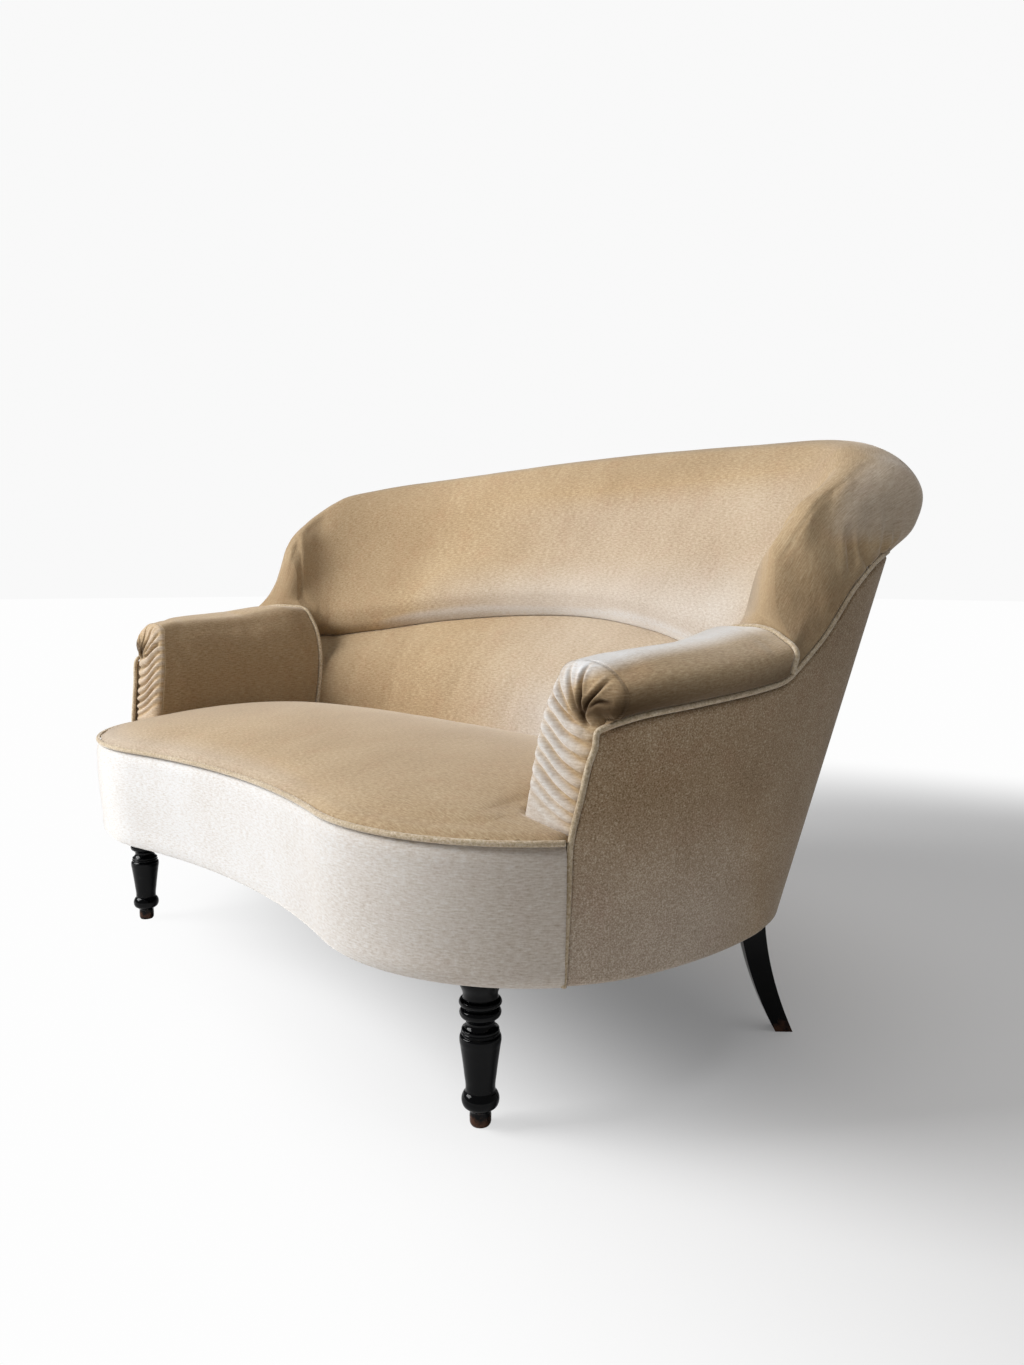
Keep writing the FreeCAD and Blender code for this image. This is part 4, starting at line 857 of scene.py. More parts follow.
# %% [markdown]
# ## The back
# The back has two pads: a swollen lumbar band above the seat and the tall upper back, whose top
# rolls over the crest rail. Both run from one junction plane round to the other. A subdivided
# cage would need many loops where wing, crest and arm come together. The slices already turn
# there like the spokes of a fan, so one profile carried along them does it.

# %% Profiles of the back
LUMBAR_SWELL = 24.0


def upper_control(cut):
    """Control points of the upper back: a rounded lower edge, the face, the rolled top, the lip,
    and two corners in the frame."""
    seam = cut.foot() + smooth(SEAM_FROM_FOOT, cut.s)
    seam_z, ridge_z = smooth(SEAM_Z, cut.s), smooth(ROLL_Z, cut.s)
    ridge, over = -smooth(ROLL_IN, cut.s), smooth(ROLL_OVERHANG, cut.s)
    under = cut.top + cut.room()
    out_z = under + (ridge_z - under) * 0.60
    neck, neck_z = ridge - 30.0, ridge_z - 26.0
    lip = np.minimum(3.0, over - 2.0)
    full = smooth(WING_FULLNESS, cut.s)

    def outside(share, q, z):
        """A point of the roll's outside, between its full bulge and the line from ridge to lip."""
        line_q, line_z = ridge + (lip - ridge) * share, ridge_z + (under - ridge_z) * share
        return line_q + (q - line_q) * full, line_z + (z - line_z) * full

    return [(seam + 9.0, seam_z), (seam + 1.0, seam_z + 8.0),
            (0.5 * (seam + neck) - 5.0, 0.5 * (seam_z + neck_z) + 2.0), (neck, neck_z),
            (ridge - 14.0, ridge_z - 5.5), (ridge, ridge_z),
            outside(0.35, ridge + (over - ridge) * 0.70, out_z + (ridge_z - out_z) * 0.68),
            outside(0.62, over, out_z),
            outside(0.85, lip + (over - lip) * 0.76, under + (out_z - under) * 0.40), (lip, under),
            (-FRAME_ZONE + 0.0 * lip, under), (cut.panel(seam_z) - FRAME_ZONE, seam_z)]


def lumbar_control(cut):
    """Control points of the lumbar band: straight up from the rails to seat height, a swelling,
    a rounded upper edge, and two corners in the frame."""
    foot = cut.foot()
    seam, seam_z = foot + smooth(SEAM_FROM_FOOT, cut.s), smooth(SEAM_Z, cut.s) - 1.0
    run, rise = seam - foot, seam_z - SEAT_EDGE_Z
    length = np.hypot(run, rise)
    belly = 0.5 * (foot + seam) - LUMBAR_SWELL * rise / length
    belly_z = 0.5 * (SEAT_EDGE_Z + seam_z) + LUMBAR_SWELL * run / length
    flat = 0.0 * foot
    return [(foot, RAIL_TOP + flat), (foot, SEAT_EDGE_Z + flat), (belly, belly_z),
            (seam + 0.5 - 8.0 * run / length, seam_z - 9.0), (seam + 7.0, seam_z),
            (cut.panel(seam_z) - FRAME_ZONE, seam_z),
            (cut.panel(RAIL_TOP + flat) - FRAME_ZONE, RAIL_TOP + flat)]


upper_rows = profile_rows(middle_control(upper_control, 1400.0), 2, 4.4)
lumbar_rows = profile_rows(middle_control(lumbar_control, 1400.0), 2, 5.0)
print("rows of the upper back and of the lumbar band", len(upper_rows), len(lumbar_rows))

# %% Upper back and lumbar band
BACK_PAD_REACH = (ARM_BACK - 150.0, ARM_BACK + 140.0)


def back_grid(control_of, rows, columns):
    """A pad of the back: from the junction plane on the right to the middle, and its mirror. The
    columns stand closer at the wings, where the cloth is gathered, by a power of 1.4."""
    start = meet_plane(control_of, rows, wing_place_and_shift, *BACK_PAD_REACH, HALF_WELT)
    share = np.linspace(0.0, 1.0, columns)[None, :] ** 1.4
    s, shift = wing_place_and_shift(start + (HALF - start) * share)
    right = pad_points(control_of, rows, s, shift)
    return np.concatenate([right, mirrored(right)[:, -2::-1]], axis=1)


def on_both_sides(creases):
    """Creases and their mirror images."""
    return creases + [([(-x, y, z) for x, y, z in path], depth, width) for path, depth, width in creases]


# the gathers where the wing bends, and the seam along the ridge from the crest down to the arm
WING_GATHERS = on_both_sides([
    ([(676, 446, 698), (679, 440, 684), (683, 435, 669), (686, 431, 655), (684, 424, 636)], 6.0, 4.6),
    ([(683, 456, 698), (686, 453, 682), (688, 451, 666), (691, 452, 655), (692, 455, 643)], 5.0, 4.2),
    ([(693, 498, 733), (696, 497, 716), (698, 496, 698), (697, 492, 682), (691, 482, 662)], 6.0, 4.8),
    ([(699, 508, 733), (701, 509, 710), (700, 510, 694), (696, 511, 681), (689, 513, 668)], 5.0, 4.4),
    ([(688, 474, 718), (692, 471, 698), (695, 471, 676)], 2.5, 7.0)])
RIDGE_SEAM = on_both_sides([([(667, 540, 794), (663, 504, 782), (655, 459, 757), (643, 417, 724),
                              (635, 392, 693), (620, 372, 650), (596, 357, 612)], 1.0, 2.6)])

upper_first = back_grid(upper_control, upper_rows, 190)
lumbar_first = back_grid(lumbar_control, lumbar_rows, 130)
upper_free = between_seams(upper_first, (4, len(upper_rows) - 5), 0.04)
lumbar_free = between_seams(lumbar_first, (14, len(lumbar_rows) - 6), 0.04)
upper_settled = settled("upper_trial", upper_first, upper_free, 0.0045)
upper_grid = creased(upper_settled, upper_first, WING_GATHERS + RIDGE_SEAM)
lumbar_grid = settled("lumbar_trial", lumbar_first, lumbar_free, 0.006)
print("upper back and lumbar band", upper_grid.shape, lumbar_grid.shape, "points")

# %% The pile and painted light on the back


def upper_lay_and_painted_light(x, y, z):
    """Painted highlight low above the seam, in a thin line along it, on the field right of the middle
    and on the roll of the right wing. Painted shade in the hollow beside that wing, towards the
    left and along the top. All of it is given as pile laid flat and raised."""
    seam = 0.564 - 0.053 * step(np.abs(x), 0.15, 0.62)
    low = (1.0 - step(z, 0.57, 0.68)) * step(x, -0.45, -0.05) * (1.0 - step(x, 0.45, 0.60))
    painted_highlight_at_seam = (1.0 - step(z - seam, 0.006, 0.022)) * step(x, -0.5, -0.3) * (1.0 - step(x, 0.5, 0.62))
    roll = step(x, 0.645, 0.675) * step(z, 0.655, 0.70)
    painted_shade_in_hollow = step(x, 0.59, 0.64) * (1.0 - step(z, 0.58, 0.72))
    left = 1.0 - step(x, -0.55, -0.25)
    field = 0.17 * step(x, -0.3, 0.1) * (1.0 - step(x, 0.5, 0.62)) * (1.0 - 1.7 * step(z, 0.74, 0.83))
    # low, the line along the seam, the field and the wing's roll are painted highlight, and the hollow, the
    # left side and the top are painted shade
    return 0.34 * low + 0.45 * painted_highlight_at_seam + field + 0.24 * roll - 0.42 * painted_shade_in_hollow - 0.25 * left


def lumbar_lay_and_painted_light(x, y, z):
    """Painted highlight low down on the right and a little in the middle, and painted shade on the left,
    given as pile laid flat and raised.
    """
    low = 0.62 * (1.0 - step(z, 0.39, 0.49)) * step(x, -0.1, 0.3)
    return low + 0.2 * step(x, -0.25, 0.1) * (1.0 - step(x, 0.35, 0.5)) - 0.22 * (1.0 - step(x, -0.5, -0.2))


dress(tube("back_upper_cover", upper_grid), GOLD_VELVET, ["back_upper_pad"],
      upper_lay_and_painted_light)
dress(tube("back_lumbar_cover", lumbar_grid), GOLD_VELVET, ["back_lumbar_pad"],
      lumbar_lay_and_painted_light)

# %% [markdown]
# ## The outside
# The outside of the arms and of the back is velvet on thin wadding, pulled down over the frame
# and tacked under the rails. A plane with a solidify modifier would follow the wall too, but it
# would end in a sharp rim. Here the grid itself turns over a rounded edge and comes back inside.

# %% Outside panels
PANEL_LEVELS, TOP_ROUNDING, FOOT_ROUNDING = 64, 6.0, 5.0


def panel_grid(s):
    """Velvet on its wadding: up the outside, in over a rounded top edge and down the inside. The
    edges are drawn in by half the thickness times the square of how near to the edge a point is."""
    s = s[None, :]
    up = np.linspace(0.0, 1.0, PANEL_LEVELS)[:, None]
    top = smooth(PANEL_TOP, s)
    z = BASE_Z + (top - BASE_Z) * up
    depth = np.zeros_like(z) + 0.5 * PANEL * np.clip(1.0 - (top - z) / TOP_ROUNDING, 0.0, 1.0) ** 2
    depth = depth + 0.5 * PANEL * np.clip(1.0 - (z - BASE_Z) / FOOT_ROUNDING, 0.0, 1.0) ** 2
    x0, y0 = panel_point(s, z)
    ex, ey = edge_point(s)
    ox, oy = edge_point(s, 1.0)
    outer = points(x0 - depth * (ox - ex), y0 - depth * (oy - ey), z)
    back_z = z[::-3]
    x1, y1 = panel_point(s, back_z)
    inner = points(x1 - (PANEL - 0.5) * (ox - ex), y1 - (PANEL - 0.5) * (oy - ey), back_z)
    return np.concatenate([outer, inner], axis=0)


def panel_lay_and_painted_light(x, y, z):
    """Painted light a little low down at the front, where the floor throws light up, and a little painted
    shade further back, given as pile laid flat and raised.
    """
    low = 0.22 * (1.0 - step(z, 0.20, 0.42)) * (1.0 - step(y, -0.15, 0.15))
    return low - 0.16 * step(y, -0.12, 0.05) * (1.0 - 0.6 * step(y, 0.15, 0.3))


side_panel = panel_grid(np.linspace(ARM_FRONT + 1.5, BACK_SEAM, 110))
for side, grid in both_sides(side_panel):
    dress(tube("outside_arm_cover_" + side, grid), OUTSIDE_VELVET_WITH_PAINTED_SHADE, ["outside_arm_" + side],
          panel_lay_and_painted_light)
half_back = panel_grid(np.linspace(BACK_SEAM + 0.5, HALF, 100))
back_panel = np.concatenate([half_back, mirrored(half_back)[:, -2::-1]], axis=1)
dress(tube("outside_back_cover", back_panel), OUTSIDE_VELVET_WITH_PAINTED_SHADE, ["outside_back"])

# %% [markdown]
# ## The front border and the seat
# The border is a padded band under the seat's front edge. It is a profile carried along the
# outline, which an array or a curve could do as well, but only the outline's own formula keeps it
# in line with the seat above it and the legs below it.

# %% Front border
BORDER_TOP, BORDER_LEAN = 347.2, 10.0
border_s = np.linspace(-(ARM_FRONT - 0.5), ARM_FRONT - 0.5, 400)[None, :]
border_profile = np.array([(-8.0, 188.0), (-1.5, 187.2), (1.5, 190.0), (6.5, 225.0), (10.5, 270.0),
                           (11.8, 315.0), (9.5, 341.0), (5.0, 346.6), (-9.5, 347.0), (-9.5, 187.5)])
border_rows = profile_rows(border_profile, 2)
border_out, border_z = (border_rows @ border_profile).T
border_x, border_y = edge_point(border_s, border_out[:, None])


def border_lay_and_painted_highlight(x, y, z):
    """Laid flat all along, and more on the left and in the middle, as painted highlight where the window
    lamp falls.
    """
    return 0.5 + 0.42 * (1.0 - step(x, 0.15, 0.62))


dress(tube("front_border_cover", points(border_x, border_y, border_z[:, None])), GOLD_VELVET,
      ["front_border"], border_lay_and_painted_highlight)

# %% [markdown]
# The seat is one sprung pad, crowned from front to back, with a rolled edge in front and a deep
# tuck along arms and back. A cushion could be inflated by cloth alone, but a stitched seat keeps
# a crown of its own, so the crown is a formula and the cloth only adds the pull between seams.

# %% Seat outline
# where the seat's front edge ends, how far it stands out, how far the cover goes on down behind
# the arms and the back, and the arms' inner faces at seat height
SEAT_END, SEAT_OUT, SEAT_TUCKED_IN = 632.5, 4.3, 6.0
INNER_FACE_BACK, INNER_FACE_FRONT = (479.0, 351.0), (508.0, 44.0)
SEAT_REAR_END = 1045.0


def seat_edges(count):
    """Front and rear edge of the seat in plan, as matching points from left to right. The rear
    follows the back's foot, then each arm's inner face, then runs on under the arm's front."""
    tip_x, tip_y = (float(v) for v in edge_point(SEAT_END, SEAT_OUT))
    cut = Slice(np.linspace(HALF, SEAT_REAR_END, 60))
    q = cut.foot() + SEAT_TUCKED_IN
    along_arm = [(x + SEAT_TUCKED_IN, y) for x, y in (INNER_FACE_BACK, INNER_FACE_FRONT)]
    rear = np.vstack([np.stack([cut.x + q * cut.c, cut.y + q * cut.d], -1), along_arm,
                      [(tip_x, tip_y + 26.0)]])
    rear[:, 0] = np.maximum.accumulate(rear[:, 0] + np.arange(len(rear)) * 1e-3)
    place = np.concatenate([[0.0], np.cumsum(np.linalg.norm(np.diff(rear, axis=0), axis=1))])
    even = np.linspace(0.0, place[-1], count)
    rear = np.stack([np.interp(even, place, rear[:, k]) for k in (0, 1)], -1)
    for _ in range(3):
        rear[1:-1] = 0.5 * rear[1:-1] + 0.25 * (rear[:-2] + rear[2:])
    line_x, line_y = edge_point(np.linspace(0.0, SEAT_END, 900), SEAT_OUT)
    front = np.stack([rear[:, 0], np.interp(rear[:, 0], line_x, line_y)], -1)
    left = (-1.0, 1.0)
    return np.vstack([front[:0:-1] * left, front]), np.vstack([rear[:0:-1] * left, rear])


seat_front, seat_rear = seat_edges(150)
front_x, front_y = edge_point(np.linspace(0.0, 640.0, 200), BORDER_LEAN)
print("seat outline", len(seat_front) + len(seat_rear), "points")

# %% Seat
CROWN_RISE, CROWN_HALF_WIDTH, SEAT_BACK_Y, SEAT_LEVEL = 42.0, 600.0, 455.0, 356.0
ROLL_DROP, ROLL_REACH, TUCK_DROP, TUCK_REACH = 5.5, 16.0, 7.0, 34.0


def crown(x, y, rim):
    """Height of the seat: a parabola from front to back whose rise falls with the fourth power
    towards the arms, less a rolled edge and tuck within a few centimetres of the rim."""
    y0, y1 = np.interp(np.abs(x), front_x, front_y), SEAT_BACK_Y
    rise = CROWN_RISE * np.maximum(0.0, 1.0 - np.abs(x / CROWN_HALF_WIDTH) ** 4) + 2.0
    dome = rise * (1.0 - ((y - 0.5 * (y0 + y1)) / (0.5 * (y1 - y0))) ** 2)
    roll = ROLL_DROP * np.clip(1.0 - rim / ROLL_REACH, 0.0, 1.0) ** 2
    behind = np.clip((y - 20.0) / 60.0, 0.0, 1.0)
    tuck = behind * TUCK_DROP * np.clip(1.0 - rim / TUCK_REACH, 0.0, 1.0) ** 2
    return SEAT_LEVEL + dome - roll - tuck


seat_share = (0.5 - 0.5 * np.cos(np.linspace(0.0, np.pi, 96)))[:, None, None]
plan = seat_front[None] + (seat_rear - seat_front)[None] * seat_share
rim_line = np.vstack([seat_front[::2], seat_rear[::2]])
away = np.linalg.norm(plan.reshape(-1, 1, 2) - rim_line[None], axis=2).min(1).reshape(plan.shape[:2])
ends = np.minimum(np.abs(plan[..., 0] - plan[:, -1:, 0]), np.abs(plan[..., 0] - plan[:, :1, 0]))
to_seat_rim = np.minimum(away, ends + 1.0)
seat_top = points(plan[..., 0], plan[..., 1], crown(plan[..., 0], plan[..., 1], to_seat_rim))
under_plan = np.stack([seat_rear, seat_front])
seat_under = points(under_plan[..., 0], under_plan[..., 1], SEAT_EDGE_Z + 0.3)
seat_first = np.concatenate([seat_top, seat_under], axis=0)
seat_free = np.zeros(seat_first.shape[:2])
seat_free[:len(plan)] = step(away, 8.0, 45.0)
seat_grid = settled("seat_trial", seat_first, seat_free, 0.006, pressure=3.0, calm=12)


def seat_lay_and_painted_light(x, y, z):
    """Painted highlight a little at the front on the left, and a little painted shade on the right, given
    as pile laid flat and raised.
    """
    front = 1.0 - step(y - np.interp(np.abs(x), front_x * MM, (front_y - BOX_MIDDLE_Y) * MM), 0.0, 0.07)
    left = 0.2 * front * (1.0 - step(x, 0.1, 0.5)) + 0.06 * (1.0 - step(x, -0.5, -0.1))
    return left - 0.1 * step(x, -0.2, 0.3)


dress(tube("seat_cover_pad", seat_grid, seat_grid[..., :2]), GOLD_VELVET, ["seat_cover"],
      seat_lay_and_painted_light)

# %% [markdown]
# ## Under the covers
# The stuffing and the roll along the front edge are curled hair under calico. Their CAD solids
# have sharp edges. A copy of each is built again from small cubes and smoothed, which rounds it
# as stitched hair is. A bevel would round the edges only, and would leave the sides flat.

# %% Hair


def stuffed(node_name, cube):
    """A rounded copy of a stuffed piece: remeshed in cubes of a size in metres, then smoothed."""
    piece = bpy.data.objects.new(node_name + "_hair", frame["nodes"][node_name].data.copy())
    bpy.context.scene.collection.objects.link(piece)
    remesh = piece.modifiers.new("remesh", "REMESH")
    remesh.mode, remesh.voxel_size, remesh.use_smooth_shade = "VOXEL", cube, True
    even = piece.modifiers.new("even", "SMOOTH")
    even.factor, even.iterations = 0.5, 6
    rounded = bpy.data.meshes.new_from_object(piece.evaluated_get(bpy.context.evaluated_depsgraph_get()))
    piece.modifiers.clear()
    piece.data = rounded
    return dress(piece, HORSEHAIR, [node_name])


stuffed("seat_stuffing", 0.007)
stuffed("seat_edge_roll", 0.006)

# %% [markdown]
# The dust cloth is a black cotton sheet tacked up all round under the rails, so it can only sag a
# little in the middle. A cloth simulation would show no more than that, so it is a shell of rings
# shrunk about its middle, nearly a millimetre thick, that sag by three millimetres times one less
# the square of the ring's size.

# %% Dust cloth
CLOTH_UNDER, CLOTH_OVER, CLOTH_SAG, CLOTH_INSIDE = 188.1, 189.0, 3.0, 12.0
cloth_x, cloth_y = edge_point(np.linspace(-HALF, HALF, 480, endpoint=False), -CLOTH_INSIDE)
cloth_edge = np.stack([cloth_x, cloth_y], -1)
CLOTH_MIDDLE = np.array([0.0, 360.0])
RING_SIZES = np.array([0.03, 0.2, 0.4, 0.6, 0.8, 0.93, 1.0])
rings = np.concatenate([RING_SIZES, RING_SIZES[::-1]])
level = np.repeat([CLOTH_OVER, CLOTH_UNDER], len(RING_SIZES)) - CLOTH_SAG * (1.0 - rings**2)
cloth_xy = CLOTH_MIDDLE + (cloth_edge - CLOTH_MIDDLE)[:, None] * rings[None, :, None]
cloth = tube("dust_cloth_sheet", points(cloth_xy[..., 0], cloth_xy[..., 1], level[None]))
dress(cloth, DUST_CLOTH, ["bottom_cloth"])

# %% [markdown]
# ## Welts
# A welt is a cotton cord in a bias strip of the same velvet, sewn into the seam. A curve with a
# bevel could draw it, but a tube worked out along its path keeps the nap's coordinates.

# %% Cords along a path
WELT_SIDES = 14


def welt(name, path, outward, node):
    """A round cord along a path: at each point a circle square to the path, started from the
    outward direction."""
    ahead = np.gradient(path, axis=0)
    ahead /= np.linalg.norm(ahead, axis=1)[:, None]
    across = outward - ahead * (outward * ahead).sum(1)[:, None]
    across /= np.linalg.norm(across, axis=1)[:, None]
    other = np.cross(ahead, across)
    angle = np.linspace(0.0, 2 * np.pi, WELT_SIDES, endpoint=False)[:, None, None]
    grid = path[None] + WELT_R * MM * (np.cos(angle) * across[None] + np.sin(angle) * other[None])
    return dress(tube(name, grid), WELT_VELVET, [node])


def welt_pair(name, path, outward, node):
    """The same cord on the right and on the left."""
    for (side, line), (_, out) in zip(both_sides(path), both_sides(outward)):
        welt(name + side, line, out, node + side)


# the cord under the seat's front edge, which lies on the border
PIPE_Z, PIPE_END = BORDER_TOP + WELT_R + 0.3, ARM_FRONT - 1.5
pipe_s = np.linspace(-PIPE_END, PIPE_END, 420)
pipe_path = points(*edge_point(pipe_s, BORDER_LEAN - 1.0), PIPE_Z)
pipe_out = points(*edge_point(pipe_s, BORDER_LEAN + 9.0), PIPE_Z) - pipe_path
welt("seat_piping_cord", pipe_path, pipe_out, "seat_piping")

# %% [markdown]
# Two more cords lie on either side. One rises up the front corner of the outside panel, turns
# over it and follows its top edge. The other lies in the seam between arm and back.

# %% Cords on the sides
corner_z = np.array([188.0, 240.0, 300.0, KNEE_Z, 400.0, 440.0])
corner_x, corner_y = panel_point(ARM_FRONT, corner_z)
corner = Slice(ARM_FRONT)
rise_path = points(corner_x - 1.0, corner_y, corner_z)
turn_path = np.stack([corner.place(-1.0, corner.top - 14.0),
                      corner.place(-0.5, corner.top + 2.5) + (0, MM, 0)])
top_slice = Slice(np.linspace(ARM_FRONT + 12.0, WELT_END, 24))
top_path = top_slice.place(0.5 + 0.0 * top_slice.s, top_slice.top + 0.5 * top_slice.room())
welt_path = along_path(np.vstack([rise_path, turn_path, top_path]), 260)
welt_out = np.broadcast_to(np.array([1.0, -0.35, 0.0]), welt_path.shape)
welt_pair("outside_welt_cord_", welt_path, welt_out, "outside_welt_")

JOINT_WELT_FROM, MIDDLE_OF_ARM = 0.340, points(560.0, 300.0, 440.0)
visible = arm_rows[:, -2:].sum(1) < 1e-9
joint_place = meet_plane(arm_control, arm_rows, place_and_shift, *ARM_PAD_REACH, 0.0)
joint_s, joint_shift = place_and_shift(joint_place)
joint_line = pad_points(arm_control, arm_rows, joint_s, joint_shift)[visible, 0]
joint_path = along_path(joint_line[joint_line[:, 2] > JOINT_WELT_FROM], 120)
welt_pair("arm_back_welt_cord_", joint_path, joint_path - MIDDLE_OF_ARM, "arm_back_welt_")

# %% [markdown]
# ## The arm fronts
# The front of each arm is covered by velvet that is gathered round the roll into pleats, which
# run together at the outside corner. Cloth simulated against pins would make pleats of its own
# choice. These are drawn where they are on the real one, as valleys in a shallow cushion.

# %% Outline of an arm's front
FACE_LIFT = 0.3


def facing_outline(count):
    """Outline of the arm's front in the slice where the pad starts, as q and z, evenly spaced and
    a third of a millimetre outside the arm's velvet."""
    cut = Slice(np.array([[ARM_PAD_START]]))
    control = np.array(arm_control(cut))[1:9, :, 0, 0]
    shown = profile_rows(control, 0, 4.0) @ control
    low = SEAT_EDGE_Z + 2.0
    side_z = np.array([cut.top[0, 0] + WELT_ROOM, KNEE_Z, low])
    side_q = np.array([float(cut.panel(np.array([[z]]))[0, 0]) for z in side_z]) - PANEL - 1.0
    line = np.vstack([shown, np.stack([side_q, side_z], -1), shown[:1]])
    place = np.concatenate([[0.0], np.cumsum(np.linalg.norm(np.diff(line, axis=0), axis=1))])
    even = np.linspace(0.0, place[-1], count, endpoint=False)
    line = np.stack([np.interp(even, place, line[:, k]) for k in (0, 1)], -1)
    ahead = np.roll(line, -1, axis=0) - np.roll(line, 1, axis=0)
    out = np.stack([-ahead[:, 1], ahead[:, 0]], -1) / np.linalg.norm(ahead, axis=1)[:, None]
    return line + FACE_LIFT * out * np.sign((out * (line - line.mean(0))).sum())


face_line = facing_outline(360)
face_cut = Slice(ARM_PAD_START)
FACE_MIDDLE = np.array([-45.0, 450.0])
face_share = 1.0 - np.linspace(0.0, 1.0, 90)[:-1] ** 1.4
face_qz = FACE_MIDDLE + (face_line - FACE_MIDDLE)[:, None, :] * face_share[None, :, None]
to_rim = np.linalg.norm(face_qz.reshape(-1, 1, 2) - face_line[None, ::2], axis=2).min(1)
face_rim = to_rim.reshape(face_qz.shape[:2])
print("the arm's front is", np.ptp(face_line, axis=0).round(0), "mm across and high")

# %% Pleats and creases
# the pleats under the roll, then the creases that run together where the welt turns
FACE_PLEATS = [([(-108, 510), (-78, 497), (-55, 483), (-30, 478)], 3.6, 3.0),
               ([(-112, 499), (-84, 481), (-62, 466), (-40, 459), (-2, 458)], 4.2, 3.2),
               ([(-114, 483), (-86, 466), (-64, 450), (-42, 442), (2, 440)], 3.4, 3.0),
               ([(-116, 470), (-88, 450), (-64, 433), (-40, 424), (2, 421)], 4.4, 3.4),
               ([(-118, 452), (-90, 435), (-66, 418), (-42, 408), (2, 404)], 3.6, 3.0),
               ([(-120, 437), (-92, 420), (-68, 404), (-44, 394), (0, 389)], 4.6, 3.4),
               ([(-122, 419), (-96, 404), (-72, 390), (-48, 381), (-2, 376)], 3.2, 3.2),
               ([(-124, 402), (-98, 389), (-75, 378), (-52, 370), (-6, 364)], 2.4, 3.4)]
FACE_CREASES = [([(-33, 480), (-39, 503), (-42, 524), (-36, 548)], 4.2, 2.4),
                ([(-32, 480), (-30, 497), (-20, 511), (-4, 528)], 5.0, 2.5),
                ([(-28, 492), (-17, 502), (2, 503)], 3.2, 2.0),
                ([(-36, 484), (-49, 500), (-59, 517), (-65, 542)], 3.6, 2.6),
                ([(-36, 481), (-55, 491), (-73, 508), (-90, 534)], 3.8, 2.8),
                ([(-10, 476), (-42, 477), (-70, 490), (-104, 522)], 3.6, 2.8),
                ([(-38, 491), (-33, 482), (-25, 474)], 5.0, 5.0)]
sink = crease_depth(face_qz, FACE_PLEATS) + crease_depth(face_qz, FACE_CREASES)
print("deepest pleat or crease", round(float(sink.max()), 1), "mm")

# %% Facings
FACE_DEPTH, FACE_ROUNDING = 13.0, 15.0
ROLL_FULLNESS, ROLL_MIDDLE, ROLL_SPREAD = 4.0, np.array([-42.0, 505.0]), 44.0
# the cushion: a quarter circle in from the rim, with a low dome on the roll, less the creases
rounded = 1.0 - (1.0 - np.clip(face_rim / FACE_ROUNDING, 0.0, 1.0)) ** 2
from_roll = np.linalg.norm(face_qz - ROLL_MIDDLE, axis=-1)
depth = FACE_DEPTH * np.sqrt(np.clip(rounded, 0.0, 1.0))
depth = depth + ROLL_FULLNESS * np.clip(1.0 - (from_roll / ROLL_SPREAD) ** 2, 0.0, 1.0)
depth = depth - sink * step(face_rim, 0.0, 7.0)
forward = np.stack([0 * depth, depth * MM, 0 * depth], -1)
face_points = face_cut.place(face_qz[..., 0], face_qz[..., 1]) - forward
# three rings behind the rim: how far back, and how far in under the arm's velvet
LAP = ((9.0, 2.4), (6.0, 1.1), (3.0, 0.3))
inward = FACE_MIDDLE - face_line
inward /= np.linalg.norm(inward, axis=1, keepdims=True)
face_back = np.stack([face_cut.place(*(face_line + inward * under).T) + np.array([0.0, back * MM, 0.0])
                      for back, under in LAP], 1)
face_grid = np.concatenate([face_back, face_points], axis=1)
face_uv = np.concatenate([np.repeat(face_line[:, None], len(LAP), axis=1), face_qz], axis=1) * MM


def facing_lay_and_painted_light(x, y, z):
    """Painted highlight on the crests towards the seat, most on the right arm, and painted shade in
    the creases, by their depth. Round the roll it goes over into the arm's own."""
    behind_rim = np.zeros((len(sink), len(LAP)))
    sunk = np.append(np.concatenate([behind_rim, sink], axis=1).ravel(), [0.0, 0.0])
    front = 0.62 * (1.0 - step(np.abs(x), 0.56, 0.62)) * (0.35 + 0.65 * (x > 0)) - 0.1
    round_the_roll = step(z, 0.472, 0.492) * step(np.abs(x), 0.548, 0.585)
    # the crests are painted highlight, stronger on the right arm, and the creases' depth gives painted
    # shade
    return front + (arm_lay_and_painted_light(x, y, z) - front) * round_the_roll - 0.10 * np.clip(sunk, -1.5, 4.0)


for side, grid in both_sides(face_grid):
    dress(tube("arm_facing_cover_" + side, grid, face_uv), GOLD_VELVET,
          ["arm_facing_" + side], facing_lay_and_painted_light)

# %% [markdown]
# ## Legs
# The front legs were turned on a lathe, so each is a profile spun about its axis. The screw
# modifier could spin it as well. A formula gives the same and needs no edge to be closed. The
# back legs are sabre-shaped and sawn, and keep the frame's own solids.

# %% Turned front legs
LEG_X, LEG_STEPS, LEG_RINGS = 485.0, 72, 240
# radius and height, from the foot up
LEG_LINE = np.array([(10.8, 0.0), (11.8, 1.5), (12.8, 10.0), (13.5, 18.8), (15.5, 20.6), (20.0, 24.0),
                     (22.0, 29.0), (22.0, 34.0), (19.6, 39.5), (17.6, 42.0), (17.4, 45.5), (19.0, 62.0),
                     (23.4, 96.0), (24.5, 104.0), (23.8, 108.5), (21.6, 110.8), (22.6, 112.6),
                     (21.4, 114.4), (22.0, 116.2), (19.6, 118.6), (16.6, 124.0), (18.6, 128.6),
                     (23.2, 132.4), (24.4, 136.5), (22.8, 140.6), (19.8, 143.0), (22.8, 144.6),
                     (25.0, 148.0), (24.0, 151.6), (20.6, 154.0), (20.4, 158.0), (25.4, 173.0),
                     (25.4, 190.0)])


